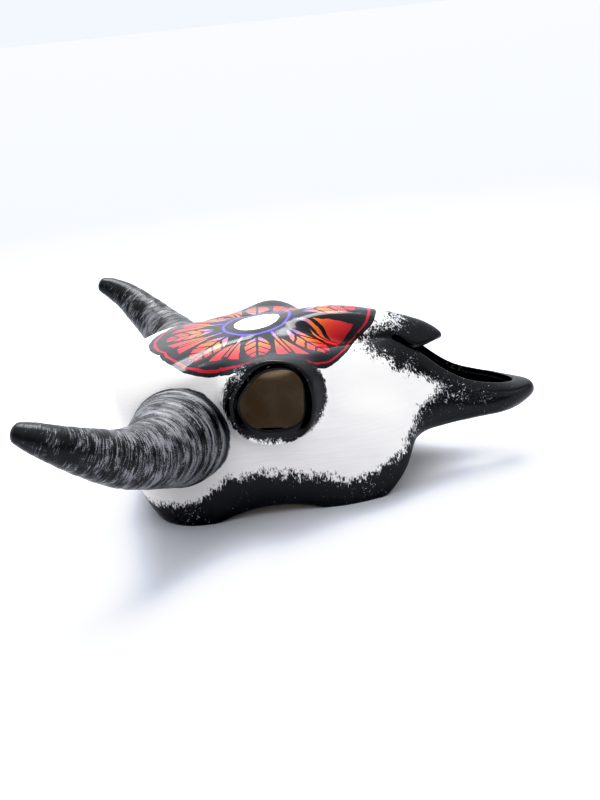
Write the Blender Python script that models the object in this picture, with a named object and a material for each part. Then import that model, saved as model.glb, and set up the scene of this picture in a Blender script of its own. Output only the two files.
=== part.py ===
"""Painted ceramic longhorn skull: a thin walled, open based shell with two solid horns.

The skull lies along X with its snout towards +X. Its mirror plane is y = 0 and it stands on z = 0.
Drawn sizes are millimetres and the finished meshes are metres. The skull's outer skin is a cage of
four sided faces drawn for the near half, y < 0, and mirrored to the far half.
"""
import math

import bmesh
import bpy
import numpy as np
from mathutils import Vector

MM = 0.001
WALL = 4.5                  # thickness of the cast wall
SNOUT_WALL = 7.0            # thickness of the closed end of the snout
SNOUT_WALL_FROM = 104.0     # station where the wall starts to thicken towards the snout's end
SNOUT_WALL_FULL = 121.0     # station where it reaches its full thickness
JOINT_GAP = 0.3             # gap left between a horn and the skull
SMOOTHING = 2               # subdivision levels of the skull's cage
SKULL_KEEP = 0.42           # share of the skull's faces kept after the reduction
CENTRE_SHIFT = -3.25        # brings the middle of the whole box to x = 0
FLOOR_DEPTH = 6.0           # depth of the block that trims the feet flat
FIT_ROUNDS = 12
FIT_STEP = 0.9

# The crown, from the poll to the front of the nasal bridge. Each row runs from the mid line to the
# edge of the crown: mid line, shoulder of the bridge, crease beside it.
CROWN_ROWS = [
    [(-70, 0, 80.5), (-70, -14, 80.2), (-69, -27, 78.8)],
    [(-46, 0, 83.5), (-46, -15, 83.2), (-46, -29, 81.7)],
    [(-30, 0, 85.0), (-30, -15, 84.6), (-31, -28, 83.2)],
    [(-13, 0, 86.8), (-13, -14, 86.0), (-13, -27, 83.6)],
    [(8, 0, 89.4), (8, -11, 87.2), (8, -21, 81.0)],
    [(24, 0, 89.3), (24, -9, 86.6), (24, -15.5, 78.2)],
    [(39, 0, 86.6), (39, -8.5, 83.6), (38, -13.8, 76.2)],
    [(52, 0, 83.6), (51, -10.5, 77.5), (49.5, -12.8, 73.4)],
]

# The tongue, the free front end of the nasal bridge: mid line and edge.
TONGUE_ROWS = [
    [(62, 0, 79.7), (60.5, -10.2, 71.4)],
    [(70, 0, 75.6), (69, -7.6, 69.8)],
    [(76.6, 0, 69.6), (75, -3.6, 68.6)],
]

# The inner edge of the lip round the nasal slot, from the slot's root to the tip of the snout.
SLOT_EDGE = [
    (60, -12, 66.4), (71, -12, 56.6), (85, -12, 46.4), (101, -10.5, 41.0), (111, -6, 38.8), (114.5, 0, 38.2),
]

# The rear wall's ribs, from the mid line to the corner behind the horn, top to open base.
REAR_RIBS = [
    [(-87.5, 0, 75), (-94, 0, 65), (-94, 0, 50), (-92, 0, 34), (-88, 0, 17), (-82, 0, 3)],
    [(-87, -13, 74), (-94, -14, 64), (-94, -15, 50), (-92, -15, 34), (-88, -15, 16), (-82, -15, 2.5)],
    [(-86, -24, 73), (-92, -26, 63.5), (-91, -28, 49), (-89, -29, 33), (-86, -29, 15), (-80, -28, 1)],
]

# The side wall's ribs, from the corner behind the horn to the tip of the snout, top to open base.
SIDE_RIBS = [
    [(-81, -33, 72), (-85.5, -37, 62.5), (-85, -40, 48), (-83.5, -42, 32), (-81, -43, 14), (-75, -42, 0)],
    [(-67, -37.5, 75.8), (-68, -44.5, 65), (-68, -48, 50), (-67, -49, 34), (-65, -51, 15), (-62, -52, -1)],
    [(-47, -40.5, 77.6), (-46, -44.5, 69.5), (-47, -49, 54), (-46, -50, 38), (-45, -52, 18), (-44, -53, 3)],
    [(-32, -39, 81), (-33, -45.5, 78), (-39.5, -49, 62), (-33, -50, 41), (-30, -52, 22), (-27, -51, 6.4)],
    [(-12, -38, 82.2), (-13, -44.5, 81.8), None, (-13, -50.5, 35), (-12, -51.5, 20), (-9, -50, 5.8)],
    [(8, -33, 79), (8, -42, 77), (13, -46.5, 61), (8, -49.5, 40), (7, -50, 20), (9, -49, 2)],
    [(22, -25, 77), (22, -35.5, 72.5), (23, -42.5, 57), (23, -48.6, 37.5), (24, -47.6, 19), (23, -47.5, -1)],
    [(36, -19.5, 74.6), (37, -28.5, 69), (38, -36, 53), (38.5, -45, 35.5), (38, -44.8, 17), (35, -44.5, 0.8)],
    [(48, -17, 70.6), (49, -23.5, 62.5), (50, -30, 47), (50.5, -37, 33), (51.5, -37.8, 18), (46, -39, 7)],
    [(59, -16.5, 63.4), (59, -20, 56), (60, -25, 43.5), (59.5, -28.5, 33), (58, -29, 26.5), (56, -26.5, 21.5)],
    [(71, -16.3, 52.4), (71.5, -17, 48.5), (72, -20.5, 41), (72, -22, 34), (72, -21.5, 29), (71, -18.5, 25)],
    [(85, -15.7, 42.8), (85.5, -15, 40.3), (86, -16.5, 36.5), (86, -17.5, 32), (86, -16.5, 28), (85.5, -13.5, 25)],
    [(102, -13.6, 37.7), (102, -12.6, 35.9), (102, -13.4, 33.5), (102, -13.8, 30.5), (102, -12.5, 27.3),
     (101.5, -9.5, 25)],
    [(115, -9.2, 36.4), (114.5, -8.2, 35), (115, -9, 33), (115, -9, 30.5), (114, -8, 27.5), (112, -5.5, 25.5)],
    [(122, 0, 37.4), (122.8, 0, 36), (125, 0, 33.5), (124.5, 0, 30.5), (121, 0, 28), (116, 0, 26)],
]
SLOT_ROOT_RIB = 8           # the nasal slot opens in front of this rib
RIDGE_RIBS = (5, 6, 7, 8)   # the ribs that the facial ridge crosses
RIDGE_LEVEL = 3
RIDGE_CREASE = 0.35         # how sharp the ridge stays when the cage is smoothed

# The eye socket: a raised ring round a hole with unequal corners.
EYE_RIB, EYE_LEVEL = 4, 2
EYE_CENTRE = (-13.5, -54.5, 61.3)
EYE_LEAN = 0.10             # how far the ring leans inwards for each unit of height
EYE_CREST = (20.5, 20.2)    # half width and half height of the ring's crest
EYE_HOLE = (15.0, 15.2)
EYE_HOLE_DEPTH = 3.0
EYE_CORNERS = {45: 1.16, 135: 0.87, 225: 1.06, 315: 1.12}
CREST_CORNER_SHARE = 0.4    # how much of the hole's corners the crest follows

# One horn's centre line from inside the wall to the tip, with the radius at each point.
HORN_PATH = [
    ((-57.5, -34, 44.5), 21.5),
    ((-59.5, -42, 45.5), 23.5),
    ((-61.0, -50, 46.6), 23.8),
    ((-63.8, -63, 49.6), 21.0),
    ((-69.5, -82, 53.6), 16.0),
    ((-80.0, -98.5, 60.2), 13.0),
    ((-90.0, -108.5, 68.2), 10.9),
    ((-100.0, -116.5, 76.5), 8.1),
    ((-109.0, -120.3, 83.0), 5.3),
    ((-114.8, -120.8, 86.2), 3.3),
    ((-117.0, -120.9, 87.4), 1.9),
]
HORN_SIDES = 24
HORN_RINGS = 22


class Cage:
    """Four sided faces between named points, each drawn once and mirrored in the plane y = 0."""

    def __init__(self):
        self.points = []
        self.index = {}
        self.faces = []

    def point(self, name, place):
        """Add a point of the near half, and its mirror image unless it lies on the mid line."""
        for side in ((0,) if place[1] == 0 else (-1, 1)):
            self.index[name, side] = len(self.points)
            self.points.append((place[0], side * abs(place[1]), place[2]))

    def find(self, name, side):
        return self.index.get((name, side), self.index.get((name, 0)))

    def face(self, *names):
        """Add a face whose points run counter-clockwise seen from outside on the near half."""
        self.faces.append([self.find(name, -1) for name in names])
        self.faces.append([self.find(name, 1) for name in reversed(names)])


def eye_loop(half_width, half_height, depth, corner_share):
    """Eight points round the eye socket, counter-clockwise from the front one."""
    loop = []
    for angle in range(0, 360, 45):
        grow = 1 + corner_share * (EYE_CORNERS.get(angle, 1.0) - 1)
        across = half_width * grow * math.cos(math.radians(angle))
        rise = half_height * grow * math.sin(math.radians(angle))
        lean = depth + EYE_LEAN * rise
        loop.append((EYE_CENTRE[0] + across, EYE_CENTRE[1] + lean, EYE_CENTRE[2] + rise))
    return loop


def outer_cage():
    """The skull's outer skin, with open base, eye sockets and nasal slot."""
    cage = Cage()
    ribs = REAR_RIBS + SIDE_RIBS
    first = len(REAR_RIBS)
    for number, rib in enumerate(ribs):
        for level, place in enumerate(rib):
            if place is not None:
                cage.point(("rib", number - first, level), place)
    for row, places in enumerate(CROWN_ROWS, start=1):
        for column, place in enumerate(places):
            cage.point(("crown", row, column), place)
    for row, places in enumerate(TONGUE_ROWS, start=SLOT_ROOT_RIB + 1):
        for column, place in enumerate(places):
            cage.point(("crown", row, column), place)
    for row, place in enumerate(SLOT_EDGE, start=SLOT_ROOT_RIB + 1):
        cage.point(("crown", row, 2), place)

    def crown(row, column):
        """Name of a crown point: the first row is the rear wall's top, the last column the side wall's."""
        if row == 0:
            return ("rib", column - first, 0)
        if column == first:
            return ("rib", row, 0)
        return ("crown", row, column)

    for row in range(SLOT_ROOT_RIB):
        for column in range(first):
            cage.face(crown(row, column + 1), crown(row + 1, column + 1), crown(row + 1, column), crown(row, column))
    for row in range(SLOT_ROOT_RIB, SLOT_ROOT_RIB + len(TONGUE_ROWS)):
        cage.face(crown(row, 1), crown(row + 1, 1), crown(row + 1, 0), crown(row, 0))
    for row in range(SLOT_ROOT_RIB, SLOT_ROOT_RIB + len(SLOT_EDGE)):
        cage.face(crown(row, 3), crown(row + 1, 3), crown(row + 1, 2), crown(row, 2))

    levels = len(REAR_RIBS[0])
    for number in range(-first, len(SIDE_RIBS) - 1):
        for level in range(levels - 1):
            beside_eye = number in (EYE_RIB - 1, EYE_RIB) and level in (EYE_LEVEL - 1, EYE_LEVEL)
            if not beside_eye:
                cage.face(("rib", number, level + 1), ("rib", number + 1, level + 1),
                          ("rib", number + 1, level), ("rib", number, level))

    around = [(1, 0), (1, -1), (0, -1), (-1, -1), (-1, 0), (-1, 1), (0, 1), (1, 1)]
    foot = [("rib", EYE_RIB + across, EYE_LEVEL + down) for across, down in around]
    loops = [foot]
    crest = eye_loop(*EYE_CREST, 0.0, CREST_CORNER_SHARE)
    hole = eye_loop(*EYE_HOLE, EYE_HOLE_DEPTH, 1.0)
    for label, loop in (("crest", crest), ("hole", hole)):
        for number, place in enumerate(loop):
            cage.point((label, number), place)
        loops.append([(label, number) for number in range(len(loop))])
    for wide, narrow in zip(loops, loops[1:]):
        for number in range(len(wide)):
            after = (number + 1) % len(wide)
            cage.face(wide[number], wide[after], narrow[after], narrow[number])
    return cage


def point_normals(points, faces):
    """Unit normals at the points, weighted by face area."""
    normals = np.zeros_like(points)
    for face in faces:
        corners = points[face]
        normal = np.cross(corners[2] - corners[0], corners[3] - corners[1])
        for corner in face:
            normals[corner] += normal
    return normals / np.linalg.norm(normals, axis=1)[:, None]


def wall_at(points):
    """Wall thickness at each point: even, and growing towards the end of the snout."""
    share = np.clip((points[:, 0] - SNOUT_WALL_FROM) / (SNOUT_WALL_FULL - SNOUT_WALL_FROM), 0, 1)
    return WALL + (SNOUT_WALL - WALL) * share


def shell(points, faces, upright):
    """Give a skin its wall: an inner layer, and a rim of faces along every open edge.

    The wall runs square to the skin, and straight down from the points listed as upright.
    """
    count = len(points)
    directions = point_normals(points, faces)
    directions[upright] = (0, 0, 1)
    inner = points - directions * wall_at(points)[:, None]
    edges = {(face[n], face[(n + 1) % 4]) for face in faces for n in range(4)}
    rims = [(b, a, a + count, b + count) for a, b in sorted(edges) if (b, a) not in edges]
    inner_faces = [[corner + count for corner in reversed(face)] for face in faces]
    return np.vstack([points, inner]), [list(face) for face in faces] + inner_faces + [list(rim) for rim in rims]


def limit_points(points, faces):
    """Where repeated subdivision takes each point of a closed four sided cage."""
    total = np.zeros_like(points)
    valence = np.zeros(len(points))
    for face in faces:
        for n in range(4):
            corner, after, across = face[n], face[(n + 1) % 4], face[(n + 2) % 4]
            total[corner] += 4 * points[after] + points[across]
            valence[corner] += 1
    valence = valence[:, None]
    return (valence ** 2 * points + total) / (valence * (valence + 5))


def fitted_shell(cage):
    """A closed cage whose outer skin, once smoothed, passes through the drawn places."""
    slot_rows = range(SLOT_ROOT_RIB + 1, SLOT_ROOT_RIB + 1 + len(SLOT_EDGE))
    upright = [cage.find(("crown", row, 2), side) for row in slot_rows for side in (-1, 1)]
    drawn = np.array(cage.points, float)
    points = drawn.copy()
    for _ in range(FIT_ROUNDS):
        closed, closed_faces = shell(points, cage.faces, upright)
        points += FIT_STEP * (drawn - limit_points(closed, closed_faces)[:len(points)])
    return shell(points, cage.faces, upright)


def crease_ridge(mesh, cage):
    """Keep the facial ridge crisp on both sides of the skull."""
    names = [("rib", rib, RIDGE_LEVEL) for rib in RIDGE_RIBS]
    ridge = {frozenset((cage.find(a, side), cage.find(b, side)))
             for a, b in zip(names, names[1:]) for side in (-1, 1)}
    sharpness = mesh.attributes.new("crease_edge", "FLOAT", "EDGE")
    for edge in mesh.edges:
        if frozenset(edge.vertices) in ridge:
            sharpness.data[edge.index].value = RIDGE_CREASE


def mesh_object(name, points, faces, material):
    """A mesh object in metres from millimetre points."""
    mesh = bpy.data.meshes.new(name)
    scaled = [((x + CENTRE_SHIFT) * MM, y * MM, z * MM) for x, y, z in points]
    mesh.from_pydata(scaled, [], [list(map(int, face)) for face in faces])
    mesh.validate()
    mesh.shade_smooth()
    piece = bpy.data.objects.new(name, mesh)
    bpy.context.collection.objects.link(piece)
    if material:
        mesh.materials.append(material)
    return piece


def plain_material(name, colour, roughness):
    material = bpy.data.materials.new(name)
    material.use_nodes = True
    shader = material.node_tree.nodes["Principled BSDF"]
    shader.inputs["Base Color"].default_value = (*colour, 1.0)
    shader.inputs["Roughness"].default_value = roughness
    shader.inputs["Metallic"].default_value = 0.0
    return material


def applied(piece):
    """Replace a piece's mesh with what its modifiers make of it."""
    graph = bpy.context.evaluated_depsgraph_get()
    mesh = bpy.data.meshes.new_from_object(piece.evaluated_get(graph))
    piece.modifiers.clear()
    piece.data = mesh
    return piece


def as_cutter(piece):
    piece.hide_render = True
    piece.display_type = "WIRE"
    return piece


def cut(piece, cutter):
    """Take a cutter's shape out of a piece."""
    boolean = piece.modifiers.new("Cut", "BOOLEAN")
    boolean.operation = "DIFFERENCE"
    boolean.solver = "EXACT"
    boolean.object = cutter


def floor_block():
    """The space below the resting surface, which trims the feet flat."""
    reach = 150.0
    corners = [(x, y, z) for z in (-FLOOR_DEPTH, 0.0) for x, y in
               ((-reach, -reach), (reach, -reach), (reach, reach), (-reach, reach))]
    faces = [(3, 2, 1, 0), (4, 5, 6, 7), (0, 1, 5, 4), (1, 2, 6, 5), (2, 3, 7, 6), (3, 0, 4, 7)]
    return as_cutter(mesh_object("floor_cutter", corners, faces, None))


def build_skull(material):
    """The cast skull: smoothed shell, reduced evenly, with its feet trimmed flat."""
    cage = outer_cage()
    points, faces = fitted_shell(cage)
    skull = mesh_object("skull", points, faces, material)
    crease_ridge(skull.data, cage)
    smooth = skull.modifiers.new("Smooth", "SUBSURF")
    smooth.levels = SMOOTHING
    smooth.render_levels = SMOOTHING
    reduce = skull.modifiers.new("Reduce", "DECIMATE")
    reduce.ratio = SKULL_KEEP
    reduce.use_symmetry = True
    reduce.symmetry_axis = "Y"
    cut(skull, floor_block())
    return applied(skull)


def smooth_path(points, steps):
    """Evenly numbered steps along a smooth curve through rows of numbers."""
    rows = np.array(points, float)
    rows = np.vstack([2 * rows[0] - rows[1], rows, 2 * rows[-1] - rows[-2]])
    spans = len(points) - 1
    result = []
    for step in range(steps):
        place = step / (steps - 1) * spans
        span = min(int(place), spans - 1)
        t = place - span
        a, b, c, d = rows[span:span + 4]
        result.append(0.5 * (2 * b + (c - a) * t + (2 * a - 5 * b + 4 * c - d) * t ** 2
                             + (3 * b - a - 3 * c + d) * t ** 3))
    return np.array(result)


def horn_mesh(side):
    """Points and faces of one solid horn, its root inside the skull's wall."""
    path = smooth_path([(*place, radius) for place, radius in HORN_PATH], HORN_RINGS)
    path[:, 1] *= -side
    centres, radii = path[:, :3], path[:, 3]
    along = np.gradient(centres, axis=0)
    along /= np.linalg.norm(along, axis=1)[:, None]
    points = []
    upright = Vector((0, 0, 1))
    for centre, axis, radius in zip(centres, along, radii.tolist()):
        axis = Vector(axis)
        across = axis.cross(upright).normalized()
        upright = across.cross(axis).normalized()
        for n in range(HORN_SIDES):
            turn = 2 * math.pi * n / HORN_SIDES
            points.append(Vector(centre) + radius * (math.cos(turn) * across + math.sin(turn) * upright))
    root = len(points)
    points.append(Vector(centres[0]))
    points.append(Vector(centres[-1]) + Vector(along[-1]) * radii[-1])
    faces = []
    for ring in range(HORN_RINGS - 1):
        for n in range(HORN_SIDES):
            m = (n + 1) % HORN_SIDES
            low, high = ring * HORN_SIDES, (ring + 1) * HORN_SIDES
            faces.append((low + n, low + m, high + m, high + n))
    last = (HORN_RINGS - 1) * HORN_SIDES
    for n in range(HORN_SIDES):
        m = (n + 1) % HORN_SIDES
        faces.append((m, n, root))
        faces.append((last + n, last + m, root + 1))
    return points, faces


def swollen_copy(skull):
    """The skull grown by the joint's gap, to trim the horns with."""
    grown = as_cutter(skull.copy())
    grown.name = "root_cutter"
    grown.data = skull.data.copy()
    bpy.context.collection.objects.link(grown)
    normals = [vertex.normal.copy() for vertex in grown.data.vertices]
    for vertex, normal in zip(grown.data.vertices, normals):
        vertex.co += normal * JOINT_GAP * MM
    return grown


def keep_outer_body(piece):
    """Drop the stub that the cut leaves inside the skull, nearer to the mid plane."""
    shape = bmesh.new()
    shape.from_mesh(piece.data)
    left = set(shape.verts)
    bodies = []
    while left:
        body, front = set(), [left.pop()]
        while front:
            vertex = front.pop()
            body.add(vertex)
            near = [edge.other_vert(vertex) for edge in vertex.link_edges]
            front += [other for other in near if other in left]
            left.difference_update(near)
        bodies.append(body)
    bodies.sort(key=lambda body: max(abs(vertex.co.y) for vertex in body))
    for body in bodies[:-1]:
        bmesh.ops.delete(shape, geom=list(body), context="VERTS")
    shape.to_mesh(piece.data)
    shape.free()


def build_horn(name, side, cutter, material):
    """One horn, trimmed to sit on the skull's wall."""
    points, faces = horn_mesh(side)
    horn = mesh_object(name, points, faces, material)
    shape = bmesh.new()
    shape.from_mesh(horn.data)
    bmesh.ops.recalc_face_normals(shape, faces=shape.faces)
    shape.to_mesh(horn.data)
    shape.free()
    cut(horn, cutter)
    applied(horn)
    keep_outer_body(horn)
    return horn


def main():
    for old in list(bpy.data.objects):
        bpy.data.objects.remove(old)
    painted = plain_material("painted_ceramic", (0.82, 0.81, 0.80), 0.45)
    black = plain_material("black_painted_ceramic", (0.03, 0.032, 0.035), 0.38)
    skull = build_skull(painted)
    cutter = swollen_copy(skull)
    build_horn("horn_right", -1, cutter, black)
    build_horn("horn_left", 1, cutter, black)


main()
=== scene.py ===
"""Looks of a painted, slip cast longhorn skull ornament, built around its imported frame.

The skull is one thin walled casting: white acrylic with sponged black edges, a varnished rosette on the
forehead and bare clay inside. The two horns are solid clay, black with light grey dry-brushed rings.
Drawn places are millimetres in the maker's own drawing, whose x runs CENTRE_SHIFT ahead of the frame's.
"""
import logging
import math
from dataclasses import dataclass
from enum import Enum

import bpy
import numpy as np
from mathutils import Matrix, Vector, noise
from mathutils.bvhtree import BVHTree


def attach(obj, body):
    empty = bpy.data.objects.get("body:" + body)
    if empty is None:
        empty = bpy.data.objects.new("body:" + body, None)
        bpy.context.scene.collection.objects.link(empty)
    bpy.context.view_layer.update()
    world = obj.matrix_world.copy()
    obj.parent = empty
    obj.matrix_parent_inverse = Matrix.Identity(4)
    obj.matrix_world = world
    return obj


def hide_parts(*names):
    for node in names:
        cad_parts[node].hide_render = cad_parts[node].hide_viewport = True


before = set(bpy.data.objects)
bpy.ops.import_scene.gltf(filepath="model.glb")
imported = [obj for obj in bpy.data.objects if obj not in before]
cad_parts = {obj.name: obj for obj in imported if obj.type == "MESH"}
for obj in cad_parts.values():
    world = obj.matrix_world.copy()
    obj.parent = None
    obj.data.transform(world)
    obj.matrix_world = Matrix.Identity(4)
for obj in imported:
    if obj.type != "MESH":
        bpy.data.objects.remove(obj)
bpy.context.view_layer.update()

MM = 0.001
FAR = 999.0                 # a distance, in millimetres, that nothing on the ornament reaches
CENTRE_SHIFT = -3.25        # from the drawing's x to the frame's x
MIX_FACTOR, MIX_A, MIX_B, MIX_RESULT = 0, 6, 7, 2   # sockets of a colour Mix node

Point = tuple[float, float, float]
log = logging.getLogger("longhorn")


class Side(Enum):
    """The two halves of the animal, by the sign of y."""

    RIGHT = -1
    LEFT = 1


class Mark(Enum):
    """Mesh attributes that carry drawn places to the paint."""

    BLACK_EDGE = "black_edge_mm"     # distance to the edge of the black (paint, and painted shadow beside the bridge), negative inside it
    RAGGED = "ragged"                # how torn that edge is
    ROOT = "horn_root_mm"            # distance to the grey skirt round a horn's root, negative inside it
    DABS = "white_dabs"              # how many white dabs lie on the black
    PLACE = "horn_place_mm"          # position round and along a horn
    AGE = "horn_share"               # 0 at a horn's collar, 1 at its tip
    RAISED = "ring_relief_mm"        # height of a horn's growth rings


class Slot(Enum):
    """The record's material slots."""

    SKULL = "painted_skull"
    HORN = "painted_horn"


# The crown, from the poll to the front of the nasal bridge. Each row runs from the mid line to the
# edge of the crown: mid line, shoulder of the bridge, crease beside it.
CROWN_ROWS = [
    [(-70, 0, 80.5), (-70, -14, 80.2), (-69, -27, 78.8)],
    [(-46, 0, 83.5), (-46, -15, 83.2), (-46, -29, 81.7)],
    [(-30, 0, 85.0), (-30, -15, 84.6), (-31, -28, 83.2)],
    [(-13, 0, 86.8), (-13, -14, 86.0), (-13, -27, 83.6)],
    [(8, 0, 89.4), (8, -9.8, 87.8), (8, -16.8, 82.0)],
    [(24, 0, 89.3), (24, -9, 86.8), (23, -15.3, 77.3)],
    [(39, 0, 86.6), (39, -8.5, 83.6), (38, -13.8, 76.2)],
    [(52, 0, 83.6), (51, -10.5, 77.5), (49.5, -12.8, 73.4)],
]

# The tongue, the free front end of the nasal bridge: mid line and edge.
TONGUE_ROWS = [
    [(62, 0, 79.7), (60.5, -10.2, 71.4)],
    [(70, 0, 75.6), (69, -7.6, 69.8)],
    [(76.6, 0, 69.6), (75, -3.6, 68.6)],
]

# The inner edge of the lip round the nasal slot, from the slot's root to the tip of the snout.
SLOT_EDGE = [
    (60, -12, 66.4), (71, -12, 56.6), (85, -12, 46.6), (101, -10.5, 41.8), (111, -6, 39.8),
    (114.5, 0, 39.2),
]

# The rear wall's ribs, from the mid line to the corner behind the horn, top to open base.
REAR_RIBS = [
    [(-87.5, 0, 75), (-94, 0, 65), (-94, 0, 50), (-92, 0, 34), (-88, 0, 17), (-82, 0, 3)],
    [(-87, -13, 74), (-94, -14, 64), (-94, -15, 50), (-92, -15, 34), (-88, -15, 16), (-82, -15, 2.5)],
    [(-86, -24, 73), (-92, -26, 63.5), (-91, -28, 49), (-89, -29, 33), (-86, -29, 15), (-80, -28, 1)],
]

# The side wall's ribs, from the corner behind the horn to the tip of the snout, top to open base.
SIDE_RIBS = [
    [(-81, -33, 72), (-85.5, -37, 62.5), (-85, -40, 48), (-83.5, -42, 32), (-81, -43, 14), (-75, -42, 0)],
    [(-67, -37.5, 75.8), (-68, -44.5, 65), (-68, -48, 50), (-67, -49, 34), (-65, -51, 15), (-62, -52, -1)],
    [(-47, -40.5, 77.6), (-46, -44.5, 69.5), (-47, -49, 54), (-46, -50, 38), (-45, -52, 18), (-44, -53, 3)],
    [(-32, -39, 81), (-33, -45.5, 78), (-39.5, -49, 62), (-33, -50, 41), (-30, -52, 22), (-27, -51, 6.4)],
    [(-12, -38, 82.2), (-13, -44.5, 81.8), None, (-13, -50.3, 36), (-12, -50, 20), (-9, -49.5, 5.8)],
    [(8, -33, 79), (8, -42, 77), (13, -46.5, 61), (8, -49.7, 43), (7, -48, 21), (9, -48.4, 2)],
    [(22, -25, 77), (22, -35.5, 72.5), (23, -42.5, 58.5), (23, -48.4, 43), (24, -45.8, 21), (23, -47, -1)],
    [(36, -19.5, 74.6), (37, -28.5, 69), (38, -36.3, 54.5), (38.5, -44.4, 40), (38, -42.8, 20),
     (35, -43.8, 0.8)],
    [(48, -17, 70.6), (49, -23.5, 62.5), (50, -30.3, 48), (50.5, -36.6, 35.5), (51.5, -37.8, 18),
     (46, -39, 7)],
    [(59, -16.5, 63.4), (59, -20, 56), (60, -25, 43.5), (59.5, -28.5, 33), (58, -29, 26.5),
     (56, -26.5, 21.5)],
    [(71, -16.3, 52.4), (71.5, -17, 48.5), (72, -20.5, 41), (72, -22, 34), (72, -21.5, 29),
     (71, -18.5, 25)],
    [(85, -15.7, 42.8), (85.5, -15, 40.3), (86, -16.5, 36.5), (86, -17.5, 32), (86, -16.5, 28),
     (85.5, -13.5, 25)],
    [(102, -13.9, 39.2), (102, -12.8, 36.4), (102, -13.4, 33.5), (102, -13.6, 30.5), (102, -12.5, 27.3),
     (101.5, -9.5, 25)],
    [(114.5, -9.6, 38.4), (115.8, -9.6, 36.4), (116.2, -9.6, 33.8), (115.8, -9, 30.8), (114, -8, 27.8),
     (112, -5.5, 25.5)],
    [(120.6, 0, 38.8), (123.8, 0, 37), (125, 0, 34), (124.2, 0, 31), (121, 0, 28.2), (116, 0, 26)],
]

# One horn's centre line from inside the wall to the tip, with the radius at each point.
HORN_PATH = [
    (-57.5, -34.0, 44.5, 21.5), (-59.5, -42.0, 45.5, 23.5), (-61.0, -50.0, 46.6, 23.8),
    (-63.8, -63.0, 49.6, 21.0), (-69.5, -82.0, 53.6, 16.0), (-80.0, -98.5, 60.2, 13.0),
    (-90.0, -108.5, 68.2, 10.9), (-100.0, -116.3, 76.3, 8.6), (-109.0, -119.2, 82.2, 6.6),
    (-113.8, -119.6, 84.7, 5.2), (-115.6, -119.7, 85.6, 4.5),
]

# Where the white paint ends, drawn on the side view (x, z): along the base from the rear, up the front
# of the cheek, out to the snout's groove, back along the slot and over the bridge behind the tongue.
WHITE_EDGE = [
    (-140, 12), (-80, 12.5), (-62, 11.5), (-52, 14.5), (-46, 20), (-38, 24), (-26, 24.5), (-14, 22.5),
    (3, 18.5), (20, 12.5), (33, 14.5), (41, 19), (48, 22), (51, 29), (56.5, 33), (58.5, 38), (67, 43),
    (72.5, 44.5), (68.5, 50), (58, 56.5), (50, 61), (45, 66.5), (38, 71.5), (31, 75.2), (35, 79.6),
    (46, 80.5), (49.5, 84), (50, 140), (260, 140), (260, -60), (-140, -60),
]

# The crease where the bridge's side meets the cheek, running out into the nasal slot. The black drawn along
# it is partly the tongue's black paint and partly painted shadow of the slit under the tongue, widening
# towards the slot.
BRIDGE_CREASE = [(30, -14.6, 77.6), (38, -13.6, 76.0), (49.5, -12.6, 73.0), (60, -12, 66.4)]

# Valleys pressed into the crown, drawn on its near half: from the ring of the rosette down beside the
# bridge, and from behind the brow down to the temple. Each has its depth and its width at the end.
FOLDS = [
    ([(-6, -11, 87), (3, -14, 86), (8, -16.8, 82)], 0.9, 2.4),
    ([(-54, -37, 79), (-44, -30, 81.8), (-35, -25, 83.3), (-20, -20.5, 84.7)], 1.5, 3.0),
]

# White dabs on the black, on the side view: x, z, reach, how many.
DAB_PATCHES = [
    (62, 41, 6, 0.75), (74, 44, 6, 0.7), (84, 40, 7, 0.55), (95, 37, 6, 0.4), (55, 30, 6, 0.55),
    (53, 81, 6, 0.95), (58, 79, 4, 0.5), (68, 50, 5, 0.5), (58, 62, 5, 0.45), (30, 8, 9, 0.4),
    (-60, 8, 8, 0.35),
    (-29, 77, 6, 0.85), (-34, 68, 4, 0.5), (9, 50, 4, 0.6),
]


def linear(hex_colour: str) -> tuple[float, float, float, float]:
    """Turn an sRGB hex colour into linear light.

    Args:
        hex_colour: Six hex digits after a hash.

    Returns:
        Linear red, green, blue and an alpha of one.
    """
    channels = [int(hex_colour[start:start + 2], 16) / 255 for start in (1, 3, 5)]
    light = [c / 12.92 if c <= 0.04045 else ((c + 0.055) / 1.055) ** 2.4 for c in channels]
    return (*light, 1.0)


def add_node(tree: bpy.types.NodeTree, kind: str, inputs: list | dict | None = None, output: int | str = 0,
             **settings: object) -> bpy.types.NodeSocket:
    """Add one node with its settings and links.

    Args:
        tree: Node tree that takes the node.
        kind: Blender's type name of the node.
        inputs: Values or sockets, in order or by the input's name or number.
        output: Name or number of the output to hand back.
        **settings: The node's own properties.

    Returns:
        The chosen output socket, or the first input's node where there is no output.
    """
    node = tree.nodes.new(kind)
    for name, value in settings.items():
        setattr(node, name, value)
    pairs = inputs.items() if isinstance(inputs, dict) else enumerate(inputs or [])
    for key, value in pairs:
        if isinstance(value, bpy.types.NodeSocket):
            tree.links.new(value, node.inputs[key])
        elif value is not None:
            node.inputs[key].default_value = value
    return node.outputs[output] if len(node.outputs) else node.inputs[0]


def new_material(name: str) -> tuple[bpy.types.Material, bpy.types.NodeTree, bpy.types.Node]:
    """Make an empty node material.

    Args:
        name: The real finish, in plain words.

    Returns:
        The material, its tree and its Principled shader.
    """
    material = bpy.data.materials.new(name)
    material.use_nodes = True
    tree = material.node_tree
    return material, tree, tree.nodes["Principled BSDF"]


def fill_ramp(ramp: bpy.types.NodeSocket, stops: list[tuple[float, tuple[float, ...]]]) -> None:
    """Give a colour ramp its bands.

    Args:
        ramp: The ramp's colour output, on a node that still has its first two bands.
        stops: Place and linear colour of each band, in order.
    """
    bands = ramp.node.color_ramp.elements
    for number, (place, colour) in enumerate(stops):
        band = bands[number] if number < 2 else bands.new(place)
        band.position = place
        band.color = colour


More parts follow.
